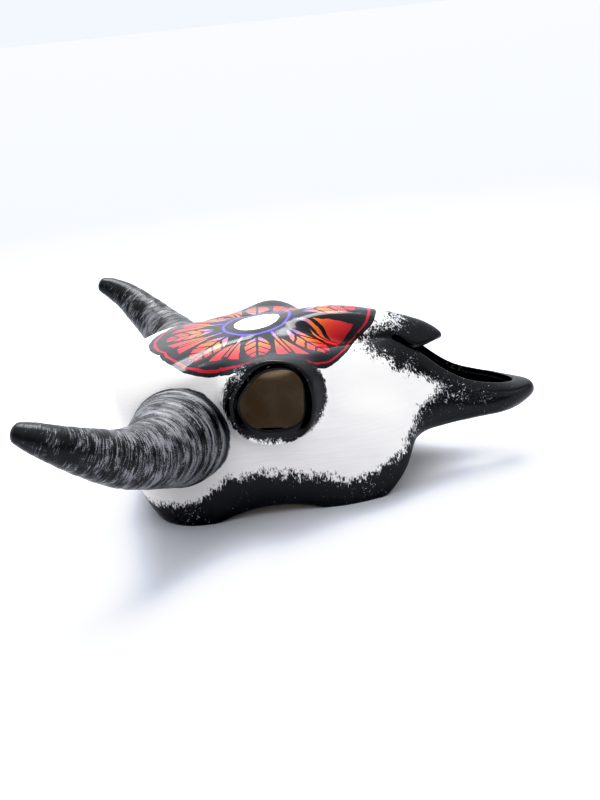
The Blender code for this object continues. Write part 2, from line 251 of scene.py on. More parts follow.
def signed_distance(places: np.ndarray, outline: list[tuple[float, float]]) -> np.ndarray:
    """Distance from flat places to a closed outline, negative inside it.

    Args:
        places: Rows of two coordinates.
        outline: The outline's corners.

    Returns:
        One distance for each place.
    """
    corners = np.array(outline, float)
    nearest = np.full(len(places), 1e9)
    inside = np.zeros(len(places), bool)
    for start, end in zip(corners, np.roll(corners, -1, axis=0)):
        run = end - start
        share = np.clip((places - start) @ run / (run @ run), 0, 1)
        nearest = np.minimum(nearest, np.linalg.norm(places - start - share[:, None] * run, axis=1))
        crosses = (start[1] > places[:, 1]) != (end[1] > places[:, 1])
        rise = run[1] if run[1] else 1.0
        inside ^= crosses & (places[:, 0] < start[0] + (places[:, 1] - start[1]) / rise * run[0])
    return np.where(inside, -nearest, nearest)


def distance_to_line(places: np.ndarray, line: list[Point]) -> np.ndarray:
    """Distance from places to a line of straight runs.

    Args:
        places: Rows of three coordinates.
        line: The line's corners.

    Returns:
        One distance for each place.
    """
    corners = np.array(line, float)
    nearest = np.full(len(places), FAR)
    for start, end in zip(corners, corners[1:]):
        run = end - start
        share = np.clip((places - start) @ run / (run @ run), 0, 1)
        nearest = np.minimum(nearest, np.linalg.norm(places - start - share[:, None] * run, axis=1))
    return nearest


def smooth_curve(points: list[tuple[float, ...]], steps: int) -> np.ndarray:
    """Places along a smooth curve through rows of numbers.

    Args:
        points: The rows that the curve passes through.
        steps: How many places to give.

    Returns:
        An array of rows.
    """
    rows = np.array(points, float)
    rows = np.vstack([2 * rows[0] - rows[1], rows, 2 * rows[-1] - rows[-2]])
    place = np.linspace(0, len(points) - 1, steps)
    span = np.minimum(place.astype(int), len(points) - 2)
    t = (place - span)[:, None]
    a, b, c, d = (rows[span + n] for n in range(4))
    bend = (2 * a - 5 * b + 4 * c - d) * t ** 2
    twist = (3 * b - a - 3 * c + d) * t ** 3
    return 0.5 * (2 * b + (c - a) * t + bend + twist)


def write_attribute(mesh: bpy.types.Mesh, mark: Mark, values: np.ndarray) -> None:
    """Store one number or vector for each vertex.

    Args:
        mesh: Mesh that takes the attribute.
        mark: Which attribute it is.
        values: One row for each vertex.
    """
    kind, field = ("FLOAT", "value") if values.ndim == 1 else ("FLOAT_VECTOR", "vector")
    attribute = mesh.attributes.new(mark.value, kind, "POINT")
    attribute.data.foreach_set(field, values.astype(np.float32).ravel())


def drawing_places(mesh: bpy.types.Mesh) -> np.ndarray:
    """Read a mesh's vertices back as places in the drawing.

    Args:
        mesh: A mesh in the frame's metres.

    Returns:
        One row in millimetres for each vertex.
    """
    flat = np.empty(len(mesh.vertices) * 3, np.float32)
    mesh.vertices.foreach_get("co", flat)
    return flat.reshape(-1, 3).astype(float) / MM - (CENTRE_SHIFT, 0, 0)


def on_near_half(places: np.ndarray) -> np.ndarray:
    """Mirror the far half's places to the near half."""
    return np.column_stack([places[:, 0], -np.abs(places[:, 1]), places[:, 2]])


def mesh_object(name: str, places: np.ndarray, faces: list[list[int]]) -> bpy.types.Object:
    """Make a smooth shaded object in the frame from places in the drawing.

    Args:
        name: The piece's name.
        places: Vertices in millimetres.
        faces: Vertex numbers of each face.

    Returns:
        The linked object.
    """
    mesh = bpy.data.meshes.new(name)
    mesh.from_pydata(((np.asarray(places) + (CENTRE_SHIFT, 0, 0)) * MM).tolist(), [], faces)
    mesh.validate()
    mesh.shade_smooth()
    piece = bpy.data.objects.new(name, mesh)
    bpy.context.scene.collection.objects.link(piece)
    return piece


def settle(piece: bpy.types.Object, node: str) -> None:
    """Let a piece stand for its CAD node.

    Args:
        piece: The finished piece.
        node: The CAD node that it replaces.
    """
    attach(piece, "root")
    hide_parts(node)
    log.info("%s: %d faces, for node %s", piece.name, len(piece.data.polygons), node)


class Cage:
    """Four sided faces between named points, each drawn once and mirrored in the plane y = 0."""

    def __init__(self) -> None:
        """Start with no points."""
        self.points: list[Point] = []
        self.index: dict[tuple, int] = {}
        self.faces: list[list[int]] = []

    def point(self, name: tuple, place: Point) -> None:
        """Add a point of the near half, and its mirror image unless it lies on the mid line.

        Args:
            name: What the faces call it.
            place: Where it is, in millimetres.
        """
        for side in ((0,) if place[1] == 0 else (-1, 1)):
            self.index[name, side] = len(self.points)
            self.points.append((place[0], side * abs(place[1]), place[2]))

    def find(self, name: tuple, side: int) -> int:
        """Number of a named point on one side, or on the mid line."""
        return self.index.get((name, side), self.index.get((name, 0)))

    def face(self, *names: tuple) -> None:
        """Add a face and its mirror image.

        Args:
            *names: Its corners, counter-clockwise from outside on the near half.
        """
        self.faces.append([self.find(name, -1) for name in names])
        self.faces.append([self.find(name, 1) for name in reversed(names)])


@dataclass
class EyeSocket:
    """A raised ring round a hole with unequal corners, in millimetres."""

    rib: int = 4
    level: int = 2
    centre: Point = (-13.5, -54.5, 61.3)
    lean: float = 0.10                       # how far the ring leans inwards for each unit of height
    crest: tuple[float, float] = (20.5, 20.2)
    hole: tuple[float, float] = (16.5, 15.7)
    hole_depth: float = 3.0
    crest_corner_share: float = 0.4
    corners: tuple[tuple[int, float], ...] = ((45, 1.16), (135, 0.87), (225, 1.06), (315, 1.12))
    lip: tuple[tuple[float, float], ...] = ((0.52, 1.9), (0.80, 3.1), (0.92, 2.3))  # share in, depth
    black_size: float = 22.9                 # mean reach of the black round the hole
    black_ahead: float = 1.8                 # and how much further it reaches ahead,
    black_up: float = 1.05                   # above,
    black_long: float = 2.2                  # and along x at both ends

    def loop(self, half_width: float, half_height: float, depth: float, corner_share: float) -> list[Point]:
        """Eight points round the socket, counter-clockwise from the front one.

        Args:
            half_width: Reach along x.
            half_height: Reach along z.
            depth: How far the loop lies inside the crest.
            corner_share: How much of the hole's corners it follows.

        Returns:
            The eight places.
        """
        grow = dict(self.corners)
        places = []
        for angle in range(0, 360, 45):
            reach = 1 + corner_share * (grow.get(angle, 1.0) - 1)
            across = half_width * reach * math.cos(math.radians(angle))
            rise = half_height * reach * math.sin(math.radians(angle))
            inward = depth + self.lean * rise
            places.append((self.centre[0] + across, self.centre[1] + inward, self.centre[2] + rise))
        return places

    def lip_rings(self, crest: np.ndarray, hole: np.ndarray) -> list[np.ndarray]:
        """Rings between crest and hole that shape the inner groove and its thin lip.

        Args:
            crest: Places of the crest's loop.
            hole: Places of the hole's loop.

        Returns:
            One array of places for each ring.
        """
        rings = []
        for share, depth in self.lip:
            ring = crest + share * (hole - crest)
            plain = share * self.hole_depth
            ring[:, 1] += np.sign(-crest[:, 1]) * (depth - plain)
            rings.append(ring)
        return rings

    def black_reach(self, angle: np.ndarray) -> np.ndarray:
        """How far the black paint reaches from the socket's centre, at each angle on the side view."""
        lopsided = self.black_ahead * np.cos(angle) + self.black_up * np.sin(angle)
        return self.black_size + lopsided + self.black_long * np.cos(2 * angle)


@dataclass
class CastSkull:
    """The one piece casting: outer skin, wall and rims, sizes in millimetres."""

    wall: float = 4.5
    snout_wall: float = 7.0
    snout_wall_from: float = 104.0
    snout_wall_full: float = 121.0
    smoothing: int = 3
    slot_root_rib: int = 8
    fold_rows: tuple[int, ...] = (5, 6, 7, 8)
    fold_crease: float = 0.8                # sharpness of the fold beside the bridge
    slot_crease: float = 0.35               # of the slot's edge
    tongue_crease: float = 0.6              # and of both edges of the tongue
    fit_rounds: int = 12
    fit_step: float = 0.9
    unevenness: float = 0.16                # how far the hand rubbed casting strays from its mould
    unevenness_width: float = 11.0
    unevenness_octaves: tuple[float, float, int] = (0.9, 2.0, 3)    # fall in height, rise in pace, count
    bare_until: float = 46.0                # ahead of this x the inside is black too
    eye_from: float = 42.0                  # the eye's black lies on the walls, further out than this
    # Beside the bridge the black widens towards the slot: partly the tongue's black paint, partly painted
    # shadow of the slit under the tongue.
    crease_x: tuple[float, ...] = (30.0, 40.0, 50.0)
    crease_black_and_shadow: tuple[float, ...] = (0.4, 2.6, 3.6)   # reach of the black paint and painted shadow beside the bridge, at those x
    base_torn: float = 1.0                  # how ragged the black's edge is along the base and the snout,
    root_torn: float = 0.1                  # round the horns' roots,
    crease_torn: float = 0.3                # beside the bridge
    eye_torn: float = 0.45                  # and round the eye,
    eye_calm: float = 0.3                   # which is this much smoother above
    calm_turn: float = -0.5                 # and a little ahead of its middle

    def __post_init__(self) -> None:
        """Draw the cage."""
        self.eye = EyeSocket()
        self.cage = self.outer_cage()

    def outer_cage(self) -> Cage:
        """Draw the outer skin, with open base, eye sockets and nasal slot.

        Returns:
            The cage of both halves.
        """
        cage = Cage()
        ribs = REAR_RIBS + SIDE_RIBS
        first = len(REAR_RIBS)
        for number, rib in enumerate(ribs):
            for level, place in enumerate(rib):
                if place is not None:
                    cage.point(("rib", number - first, level), place)
        for row, places in enumerate(CROWN_ROWS + TONGUE_ROWS, start=1):
            for column, place in enumerate(places):
                cage.point(("crown", row, column), place)
        for row, place in enumerate(SLOT_EDGE, start=self.slot_root_rib + 1):
            cage.point(("crown", row, 2), place)
        self.crown_faces(cage, first)
        self.wall_faces(cage, first)
        return cage

    def crown_faces(self, cage: Cage, first: int) -> None:
        """Join the crown's rows, the tongue and the slot's lip.

        Args:
            cage: The cage being drawn.
            first: How many ribs the rear wall has.
        """
        def crown(row: int, column: int) -> tuple:
            """Name a crown point, whose outer column is the side wall's top.

            Args:
                row: Its row, 0 along the top of the rear wall.
                column: Its column, 0 on the mid line.

            Returns:
                The name in the cage.
            """
            if row == 0:
                return ("rib", column - first, 0)
            return ("rib", row, 0) if column == first else ("crown", row, column)

        root = self.slot_root_rib
        squares = [(row, column) for row in range(root) for column in range(first)]
        squares += [(row, 0) for row in range(root, root + len(TONGUE_ROWS))]
        squares += [(row, 2) for row in range(root, root + len(SLOT_EDGE))]
        for row, column in squares:
            cage.face(crown(row, column + 1), crown(row + 1, column + 1),
                      crown(row + 1, column), crown(row, column))

    def wall_faces(self, cage: Cage, first: int) -> None:
        """Join the ribs into walls, with an eye socket in each side.

        Args:
            cage: The cage being drawn.
            first: How many ribs the rear wall has.
        """
        eye = self.eye
        for number in range(-first, len(SIDE_RIBS) - 1):
            for level in range(len(REAR_RIBS[0]) - 1):
                if number in (eye.rib - 1, eye.rib) and level in (eye.level - 1, eye.level):
                    continue
                cage.face(("rib", number, level + 1), ("rib", number + 1, level + 1),
                          ("rib", number + 1, level), ("rib", number, level))
        around = [(1, 0), (1, -1), (0, -1), (-1, -1), (-1, 0), (-1, 1), (0, 1), (1, 1)]
        loops = [[("rib", eye.rib + across, eye.level + down) for across, down in around]]
        crest = eye.loop(*eye.crest, 0.0, eye.crest_corner_share)
        hole = eye.loop(*eye.hole, eye.hole_depth, 1.0)
        for label, loop in (("crest", crest), ("hole", hole)):
            for number, place in enumerate(loop):
                cage.point((label, number), place)
            loops.append([(label, number) for number in range(len(loop))])
        for wide, narrow in zip(loops, loops[1:]):
            for number in range(len(wide)):
                after = (number + 1) % len(wide)
                cage.face(wide[number], wide[after], narrow[after], narrow[number])

    def shell(self, points: np.ndarray, upright: list[int]) -> tuple[np.ndarray, list[list[int]]]:
        """Give the skin its wall: an inner layer, and a rim along every open edge.

        Args:
            points: The skin's points.
            upright: Points from which the wall runs straight down.

        Returns:
            The closed cage's points and faces: outer, inner, then rims.
        """
        faces = self.cage.faces
        count = len(points)
        directions = np.zeros_like(points)
        for face in faces:
            corners = points[face]
            directions[face] += np.cross(corners[2] - corners[0], corners[3] - corners[1])
        directions /= np.linalg.norm(directions, axis=1)[:, None]
        directions[upright] = (0, 0, 1)
        reach = self.snout_wall_full - self.snout_wall_from
        share = np.clip((points[:, 0] - self.snout_wall_from) / reach, 0, 1)
        thickness = self.wall + (self.snout_wall - self.wall) * share
        edges = {(face[n], face[(n + 1) % 4]) for face in faces for n in range(4)}
        rims = [[b, a, a + count, b + count] for a, b in sorted(edges) if (b, a) not in edges]
        inner_faces = [[corner + count for corner in reversed(face)] for face in faces]
        inner = points - directions * thickness[:, None]
        return np.vstack([points, inner]), [list(face) for face in faces] + inner_faces + rims

    def limit_points(self, points: np.ndarray, faces: list[list[int]]) -> np.ndarray:
        """Find where endless subdivision takes each point of a closed four sided cage.

        Args:
            points: The cage's points.
            faces: Its faces.

        Returns:
            One place for each point.
        """
        total = np.zeros_like(points)
        valence = np.zeros((len(points), 1))
        for face in faces:
            for n in range(4):
                total[face[n]] += 4 * points[face[(n + 1) % 4]] + points[face[(n + 2) % 4]]
                valence[face[n]] += 1
        return (valence ** 2 * points + total) / (valence * (valence + 5))

    def fitted_shell(self) -> tuple[np.ndarray, list[list[int]]]:
        """Find the closed cage whose outer skin, once smoothed, passes through the drawn places.

        Returns:
            Its points and faces.
        """
        rows = range(self.slot_root_rib + 1, self.slot_root_rib + 1 + len(SLOT_EDGE))
        upright = [self.cage.find(("crown", row, 2), side) for row in rows for side in (-1, 1)]
        drawn = np.array(self.cage.points, float)
        points = drawn.copy()
        for _ in range(self.fit_rounds):
            closed, faces = self.shell(points, upright)
            points += self.fit_step * (drawn - self.limit_points(closed, faces)[:len(points)])
        return self.shell(points, upright)

    def with_lips(self, points: np.ndarray, faces: list[list[int]]) -> tuple[np.ndarray, list[list[int]]]:
        """Part the band between each eye's crest and hole into rings that draw its thin inner lip.

        Args:
            points: The closed cage's points.
            faces: Its faces.

        Returns:
            The points and faces with the added rings.
        """
        for side in (-1, 1):
            crest = [self.cage.find(("crest", n), side) for n in range(8)]
            hole = [self.cage.find(("hole", n), side) for n in range(8)]
            rings = [crest]
            for places in self.eye.lip_rings(points[crest], points[hole]):
                rings.append(list(range(len(points), len(points) + 8)))
                points = np.vstack([points, places])
            rings.append(hole)
            band = {frozenset((crest[n], crest[(n + 1) % 8], hole[(n + 1) % 8], hole[n])) for n in range(8)}
            faces = [face for face in faces if frozenset(face) not in band]
            for wide, narrow in zip(rings, rings[1:]):
                for n in range(8):
                    after = (n + 1) % 8
                    face = [wide[n], wide[after], narrow[after], narrow[n]]
                    faces.append(face if side == -1 else face[::-1])
        return points, faces

    def crease(self, mesh: bpy.types.Mesh) -> None:
        """Keep the fold beside the bridge and the edges of tongue and slot crisp on both sides.

        Args:
            mesh: The closed cage, still to be smoothed.
        """
        root = self.slot_root_rib
        tongue = [("crown", row, 1) for row in range(root, root + len(TONGUE_ROWS) + 1)]
        slot = [("crown", row, 2) for row in range(root, root + len(SLOT_EDGE) + 1)]
        fold = [("crown", row, 2) for row in self.fold_rows]
        sharp = {}
        under = len(self.cage.points)
        for names, amount, layers in ((fold, self.fold_crease, (0,)), (slot, self.slot_crease, (0,)),
                                      (tongue, self.tongue_crease, (0, under))):
            for a, b in zip(names, names[1:]):
                for side in (-1, 1):
                    ends = self.cage.find(a, side), self.cage.find(b, side)
                    sharp.update({frozenset(end + layer for end in ends): amount for layer in layers})
        sharpness = mesh.attributes.new("crease_edge", "FLOAT", "EDGE")
        for edge in mesh.edges:
            sharpness.data[edge.index].value = sharp.get(frozenset(edge.vertices), 0.0)

    def build(self, horns: list["Horn"]) -> bpy.types.Object:
        """Smooth the cage, rub the surface uneven, flatten the feet and mark out the paint.

        Args:
            horns: The horns, round whose roots the black runs.

        Returns:
            The casting, its inner faces on the second material.
        """
        points, faces = self.fitted_shell()
        outer = len(self.cage.faces)
        inner = {frozenset(face) for face in faces[outer:2 * outer]}
        points, faces = self.with_lips(points, faces)
        piece = mesh_object("painted_skull", points, faces)
        self.crease(piece.data)
        for name in ("painted", "bare"):
            piece.data.materials.append(bpy.data.materials.new(name))
        for polygon in piece.data.polygons:
            polygon.material_index = int(frozenset(polygon.vertices) in inner)
        smooth = piece.modifiers.new("Smooth", "SUBSURF")
        smooth.levels = smooth.render_levels = self.smoothing
        graph = bpy.context.evaluated_depsgraph_get()
        piece.data = bpy.data.meshes.new_from_object(piece.evaluated_get(graph))
        piece.modifiers.clear()
        self.rub(piece.data)
        self.mark(piece.data, horns)
        return piece

    def rub(self, mesh: bpy.types.Mesh) -> None:
        """Press in the crown's folds, rub the surface a little uneven by hand, and stand it flat.

        Args:
            mesh: The smoothed casting.
        """
        near_half = on_near_half(drawing_places(mesh))
        pressed = np.zeros(len(near_half))
        for line, depth, width in FOLDS:
            pressed += depth * np.exp(-distance_to_line(near_half, line) / width)
        places = [(vertex.co.copy(), vertex.normal.copy()) for vertex in mesh.vertices]
        for vertex, (place, normal), press in zip(mesh.vertices, places, pressed):
            wave = noise.fractal(place / (self.unevenness_width * MM), *self.unevenness_octaves)
            vertex.co = place + normal * (wave * self.unevenness - press) * MM
            vertex.co.z = max(vertex.co.z, 0.0)
        mesh.update()

    def mark(self, mesh: bpy.types.Mesh, horns: list["Horn"]) -> None:
        """Store where the black ends (paint, and beside the bridge partly painted shadow), how torn its edge
        is, and where white dabs lie on it.

        Args:
            mesh: The casting's mesh.
            horns: The horns.
        """
        places = drawing_places(mesh)
        # Black beside the bridge, wider towards the slot: tongue's paint plus painted shadow of the slit
        # under it.
        width = np.interp(places[:, 0], self.crease_x, self.crease_black_and_shadow)
        crease = distance_to_line(on_near_half(places), BRIDGE_CREASE) - width
        root = np.full(len(places), FAR)
        for horn in horns:
            root = np.minimum(root, horn.clearance(places) - horn.skirt(places))
        edge, ragged = self.black_edge(places, crease, root)
        inside = self.inner_vertices(mesh)
        edge[inside] = (self.bare_until - places[:, 0])[inside]
        ragged[inside] = self.base_torn
        write_attribute(mesh, Mark.BLACK_EDGE, edge)
        write_attribute(mesh, Mark.RAGGED, ragged)
        write_attribute(mesh, Mark.ROOT, root)
        write_attribute(mesh, Mark.DABS, self.dabs(places, crease))

    def black_edge(self, places: np.ndarray, crease: np.ndarray,
                   root: np.ndarray) -> tuple[np.ndarray, np.ndarray]:
        """Join the black of the base and snout, the eyes, the bridge's creases (partly painted shadow of the
        slit under the tongue) and the horns' roots.

        Args:
            places: Places on the casting.
            crease: Distance of each from the black beside the bridge.
            root: Distance of each from the skirts round the horns.

        Returns:
            Distance of each from the nearest black, negative inside it, and how torn that edge is.
        """
        body = signed_distance(places[:, [0, 2]], WHITE_EDGE)
        across = places[:, 0] - self.eye.centre[0]
        rise = places[:, 2] - self.eye.centre[2]
        angle = np.arctan2(rise, across)
        eye = np.hypot(across, rise) - self.eye.black_reach(angle)
        eye[np.abs(places[:, 1]) < self.eye_from] = FAR
        edge = np.minimum.reduce([body, eye, crease, root])
        torn = self.eye_torn - self.eye_calm * np.clip(np.sin(angle - self.calm_turn), 0, 1)
        torn[edge == crease] = self.crease_torn
        torn[edge == root] = self.root_torn
        torn[edge == body] = self.base_torn
        return edge, torn

    def dabs(self, places: np.ndarray, crease: np.ndarray) -> np.ndarray:
        """Find how many white dabs lie at each place.

        Args:
            places: Places on the casting.
            crease: Distance of each from the black beside the bridge, which has no dabs.

        Returns:
            A share from 0 to 1 for each place.
        """
        found = np.zeros(len(places))
        for x, z, reach, share in DAB_PATCHES:
            away = np.hypot(*(places[:, [0, 2]] - (x, z)).T)
            found = np.maximum(found, share * np.exp(-away ** 2 / reach ** 2))
        found[crease < 0] = 0
        return found

    def inner_vertices(self, mesh: bpy.types.Mesh) -> np.ndarray:
        """Find the vertices that touch only inner faces.

        Args:
            mesh: The casting's mesh, whose inner faces have the second material.

        Returns:
            True for each such vertex.
        """
        inside = np.ones(len(mesh.vertices), bool)
        for polygon in mesh.polygons:
            if polygon.material_index == 0:
                inside[list(polygon.vertices)] = False
        return inside


@dataclass
class Horn:
    """One solid horn with growth rings, lofted out of the skull's wall, sizes in millimetres."""

    side: Side
    sides: int = 168
    rings: int = 430
    root_depth: float = 1.2         # how deep the root sits under the skull's skin
    tip_round: float = 2.3
    ring_height: float = 0.85       # relief of the broad growth rings
    ring_width: float = 3.4
    line_height: float = 0.30       # relief of the fine lines between them
    line_width: float = 0.9
    flare: float = 0.9              # how far the collar turns out where it meets the skull
    flare_width: float = 1.6
    skirt_width: float = 0.1        # black on the skull round the root, where the skirt is narrowest
    skirt_corner: float = 1.6       # how much wider it gets towards the eye
    skirt_turn: float = 0.1
    skirt_plain: float = 0.55       # share of that which stays between two corners
    skirt_waves: float = 3.5        # corners in half a turn
    skirt_start: float = 0.6
    root_length: float = 40.0
    round_about: float = 20.0       # radius on which the place round the horn is stored
    samples: int = 700
    tip_samples: int = 24
    evened_lines: int = 5           # over how many lines the collar's edge is evened
    crowding: float = 1.08          # the mesh's rings crowd a little towards the collar
    sway: float = 1.6               # how far the growth rings wander along the horn
    sway_length: float = 22.0
    pace_round: tuple[float, float, float] = (0.9, 0.35, 1.4)   # of sway, rings and lines round the horn
    seed: float = 7.0               # sets the two horns' rings apart
    tip_relief: float = 0.12        # share of the relief that reaches the tip
    collar_relief: float = 0.2      # and the collar
    collar_share: float = 0.06

    def centre_line(self) -> tuple[np.ndarray, np.ndarray, np.ndarray]:
        """Sample the centre line, with its radius and its length so far.

        Returns:
            Centres, radii and lengths, the last past the path's end by the rounded tip.
        """
        path = smooth_curve(HORN_PATH, self.samples)
        path[:, 1] *= -self.side.value
        ahead = path[-1] - path[-2]
        ahead *= self.tip_round / np.linalg.norm(ahead[:3])
        steps = np.linspace(0, 1, self.tip_samples)[1:, None]
        path = np.vstack([path, path[-1] + steps * ahead])
        lengths = np.concatenate([[0], np.cumsum(np.linalg.norm(np.diff(path[:, :3], axis=0), axis=1))])
        return path[:, :3], path[:, 3], lengths

    def lines(self) -> tuple[np.ndarray, np.ndarray, np.ndarray]:
        """Lay the plain, ring free surface out as lines from root to tip.

        Returns:
            Places by step and line, outward directions alike, and lengths by step.
        """
        centres, radii, lengths = self.centre_line()
        along = np.gradient(centres, axis=0)
        along /= np.linalg.norm(along, axis=1)[:, None]
        left = np.clip((lengths[-1] - lengths) / self.tip_round, 0, 1)
        radii = radii * np.sqrt(1 - (1 - left) ** 2)
        turn = np.linspace(0, 2 * math.pi, self.sides, endpoint=False)
        upright = Vector((0, 0, 1))
        outward = np.empty((len(centres), self.sides, 3))
        for step, axis in enumerate(along):
            across = Vector(axis).cross(upright).normalized()
            upright = across.cross(Vector(axis)).normalized()
            outward[step] = np.outer(np.cos(turn), across) + np.outer(np.sin(turn), upright)
        return centres[:, None] + radii[:, None, None] * outward, outward, lengths

    def clearance(self, places: np.ndarray) -> np.ndarray:
        """Distance from places on the skull to the horn's root.

        Args:
            places: Places in the drawing.

        Returns:
            One distance for each place, negative inside the horn.
        """
        centres, radii, lengths = self.centre_line()
        root = lengths < self.root_length
        found = np.full(len(places), FAR)
        reach = np.linalg.norm(places - centres[root].mean(0), axis=1)
        near = reach < self.root_length
        line, radius = centres[root][None, ::4], radii[root][None, ::4]
        found[near] = (np.linalg.norm(places[near][:, None] - line, axis=2) - radius).min(1)
        return found

    def skirt(self, places: np.ndarray) -> np.ndarray:
        """Width of the black round the root, uneven and cornered as a knife leaves it.

        Args:
            places: Places in the drawing.

        Returns:
            The width in the direction of each place.
        """
        angle = np.arctan2(places[:, 2] - HORN_PATH[2][2], places[:, 0] - HORN_PATH[2][0])
        ahead = np.clip(np.cos(angle - self.skirt_turn), 0, 1)
        corners = np.abs(np.sin(self.skirt_waves * angle + self.skirt_start))
        plain = self.skirt_plain + (1 - self.skirt_plain) * corners
        return self.skirt_width + self.skirt_corner * ahead * plain

    def starts(self, places: np.ndarray, skull: BVHTree) -> np.ndarray:
        """Find the step at which each line comes out of the skull's wall.

        Args:
            places: Places by step and line.
            skull: The skull's surface.

        Returns:
            One step number for each line, evened out round the horn.
        """
        first = np.zeros(self.sides)
        for line in range(self.sides):
            step = len(places) // 2
            while step > 0:
                place = Vector(places[step, line])
                near, normal, _, _ = skull.find_nearest(place)
                if (place - near).dot(normal) < -self.root_depth:
                    break
                step -= 1
            first[line] = step
        wide = np.concatenate([first, first, first])
        kernel = np.ones(self.evened_lines) / self.evened_lines
        return np.convolve(wide, kernel, "same")[self.sides:2 * self.sides]

    def relief(self, length: float, turn: float, share: float) -> float:
        """Height of the growth rings at one place.

        Args:
            length: Distance along the horn.
            turn: Angle round it.
            share: 0 at the collar, 1 at the tip.

        Returns:
            The height over the plain surface.
        """
        place = Vector((math.cos(turn), math.sin(turn), 0))
        seed = self.seed * self.side.value
        slow, broad_pace, fine_pace = self.pace_round
        sway = self.sway * noise.noise(place * slow + Vector((0, 0, length / self.sway_length + seed)))
        broad = noise.noise(Vector((seed, place.x * broad_pace, (length + sway) / self.ring_width)))
        fine = noise.noise(place * fine_pace + Vector((0, 0, (length + sway) / self.line_width + seed)))
        fade = min(1.0, self.tip_relief + (1 - share) ** 2)
        fade *= min(1.0, self.collar_relief + share / self.collar_share)
        return fade * (self.ring_height * broad + self.line_height * fine)

    def build(self, skull: BVHTree) -> bpy.types.Object:
        """Loft the horn from inside the skull's wall to its rounded tip.

        Args:
            skull: The skull's surface, in the drawing's millimetres.

        Returns:
            The horn.
        """
        places, outward, lengths = self.lines()
        first = self.starts(places, skull)
        roots = np.interp(first, np.arange(len(lengths)), lengths)
        shares = np.linspace(0, 1, self.rings) ** self.crowding
        turn = np.linspace(0, 2 * math.pi, self.sides, endpoint=False)
        around = self.round_about * np.column_stack([np.cos(turn), np.sin(turn)])
        line = np.arange(self.sides)
        points, marks, raised = [], [], []
        for share in shares:
            at = first + (len(places) - 1 - first) * share
            low = np.minimum(at.astype(int), len(places) - 2)
            part = at - low
            place = places[low, line] * (1 - part)[:, None] + places[low + 1, line] * part[:, None]
            length = lengths[low] * (1 - part) + lengths[low + 1] * part
            relief = np.array([self.relief(*spot, share) for spot in zip(length, turn)])
            collar = self.flare * np.exp(-((length - roots) / self.flare_width) ** 2)
            points.append(place + outward[low, line] * (relief + collar)[:, None])
            marks.append(np.column_stack([around, length]))
            raised.append(relief)
        ends = [points[0].mean(0), places[-1].mean(0)]
        name = f"dry_brushed_horn_{self.side.name.lower()}"
        piece = mesh_object(name, np.vstack(points + [ends]), self.faces())
        end_marks = [(0, 0, lengths[0]), (0, 0, lengths[-1])]
        write_attribute(piece.data, Mark.PLACE, np.vstack(marks + [end_marks]))
        write_attribute(piece.data, Mark.AGE, np.append(np.repeat(shares, self.sides), [0.0, 1.0]))
        write_attribute(piece.data, Mark.RAISED, np.append(np.concatenate(raised), [0.0, 0.0]))
        return piece

    def faces(self) -> list[list[int]]:
        """Join the rings, with a fan at the root and at the tip.

        Returns:
            Vertex numbers of each face, which point outwards on either horn.
        """
        last = (self.rings - 1) * self.sides
        root, tip = self.rings * self.sides, self.rings * self.sides + 1
        found = []
        for n in range(self.sides):
            m = (n + 1) % self.sides
            for low in range(0, last, self.sides):
                found.append([low + n, low + self.sides + n, low + self.sides + m, low + m])
            found.append([n, m, root])
            found.append([last + m, last + n, tip])
        return found


@dataclass(frozen=True)
class Rosette:
    """Varnished enamel rosette on the forehead, drawn on the plan view in millimetres.

    Eight lobes on a black ground, each with a veined leaf. The colours turn from violet by the ring
    through orange to crimson at the rim. Glossy varnish gives it small bright lights on every crease.
    """

    centre_x: float = -18.0
    lobes: int = 8
    mean_reach: float = 56.0
    forward_reach: float = 2.4
    long_reach: float = 3.2
    notch: float = 3.0
    fullness: float = 0.6              # below 1 the lobes are rounder than a wave
    waver: float = 1.4                 # how far the hand drawn lines stray
    waver_width: float = 5.0
    bud: float = 12.0                  # white centre
    ring: float = 17.4
    ring_half: float = 0.8
    leaf_from: float = 21.0
    leaf_long: float = 28.5
    leaf_wide: float = 27.0
    vein_half: float = 0.7
    bar_step: float = 6.5              # spacing of the leaf's side veins
    bar_slant: float = -0.9
    bar_gap: float = 0.24              # share of each step that is left black
    ray_half: float = 0.75
    ray_ends: tuple[float, float] = (20.0, 45.0)
    dart_inner: float = 1.9            # half width of the black between ray and dart
    dart_slope: tuple[float, float] = (0.36, -8.2)
    dart_ends: tuple[float, float] = (28.0, 46.5)
    rim_line: tuple[float, float] = (4.0, 2.6)   # both edges of the line, inside the rim
    brow: float = 76.0                 # below this height it hangs over the brow
    drape: float = 0.9                 # and every millimetre down counts as this much further out
    bridge: tuple[float, float] = (15.0, 35.0)   # between these x the petal on the bridge begins to taper
    bridge_top: float = 86.0
    taper: float = 0.085
    lowest: float = 62.0               # it stays above this height
    ground: str = "#16171a"
    ground_worn: str = "#303338"
    hair_mm: float = 0.5               # brush hairs' lines on the ground, drawn coarse enough to show
    hair_long: float = 9.0
    violet: str = "#6c5ac9"
    lilac: str = "#a983b0"
    orange: str = "#f08a45"
    coral: str = "#e0554a"
    crimson: str = "#b8203c"
    white: str = "#f7f6f4"

    def stops(self) -> list[tuple[float, tuple[float, ...]]]:
        """List the enamel's colours from the centre to the rim.

        Returns:
            The share of the way out at which each colour is pure, and the linear colour.
        """
        places = (0.36, 0.45, 0.54, 0.68, 0.86)
        colours = (self.violet, self.lilac, self.orange, self.coral, self.crimson)
        return [(place, linear(colour)) for place, colour in zip(places, colours)]


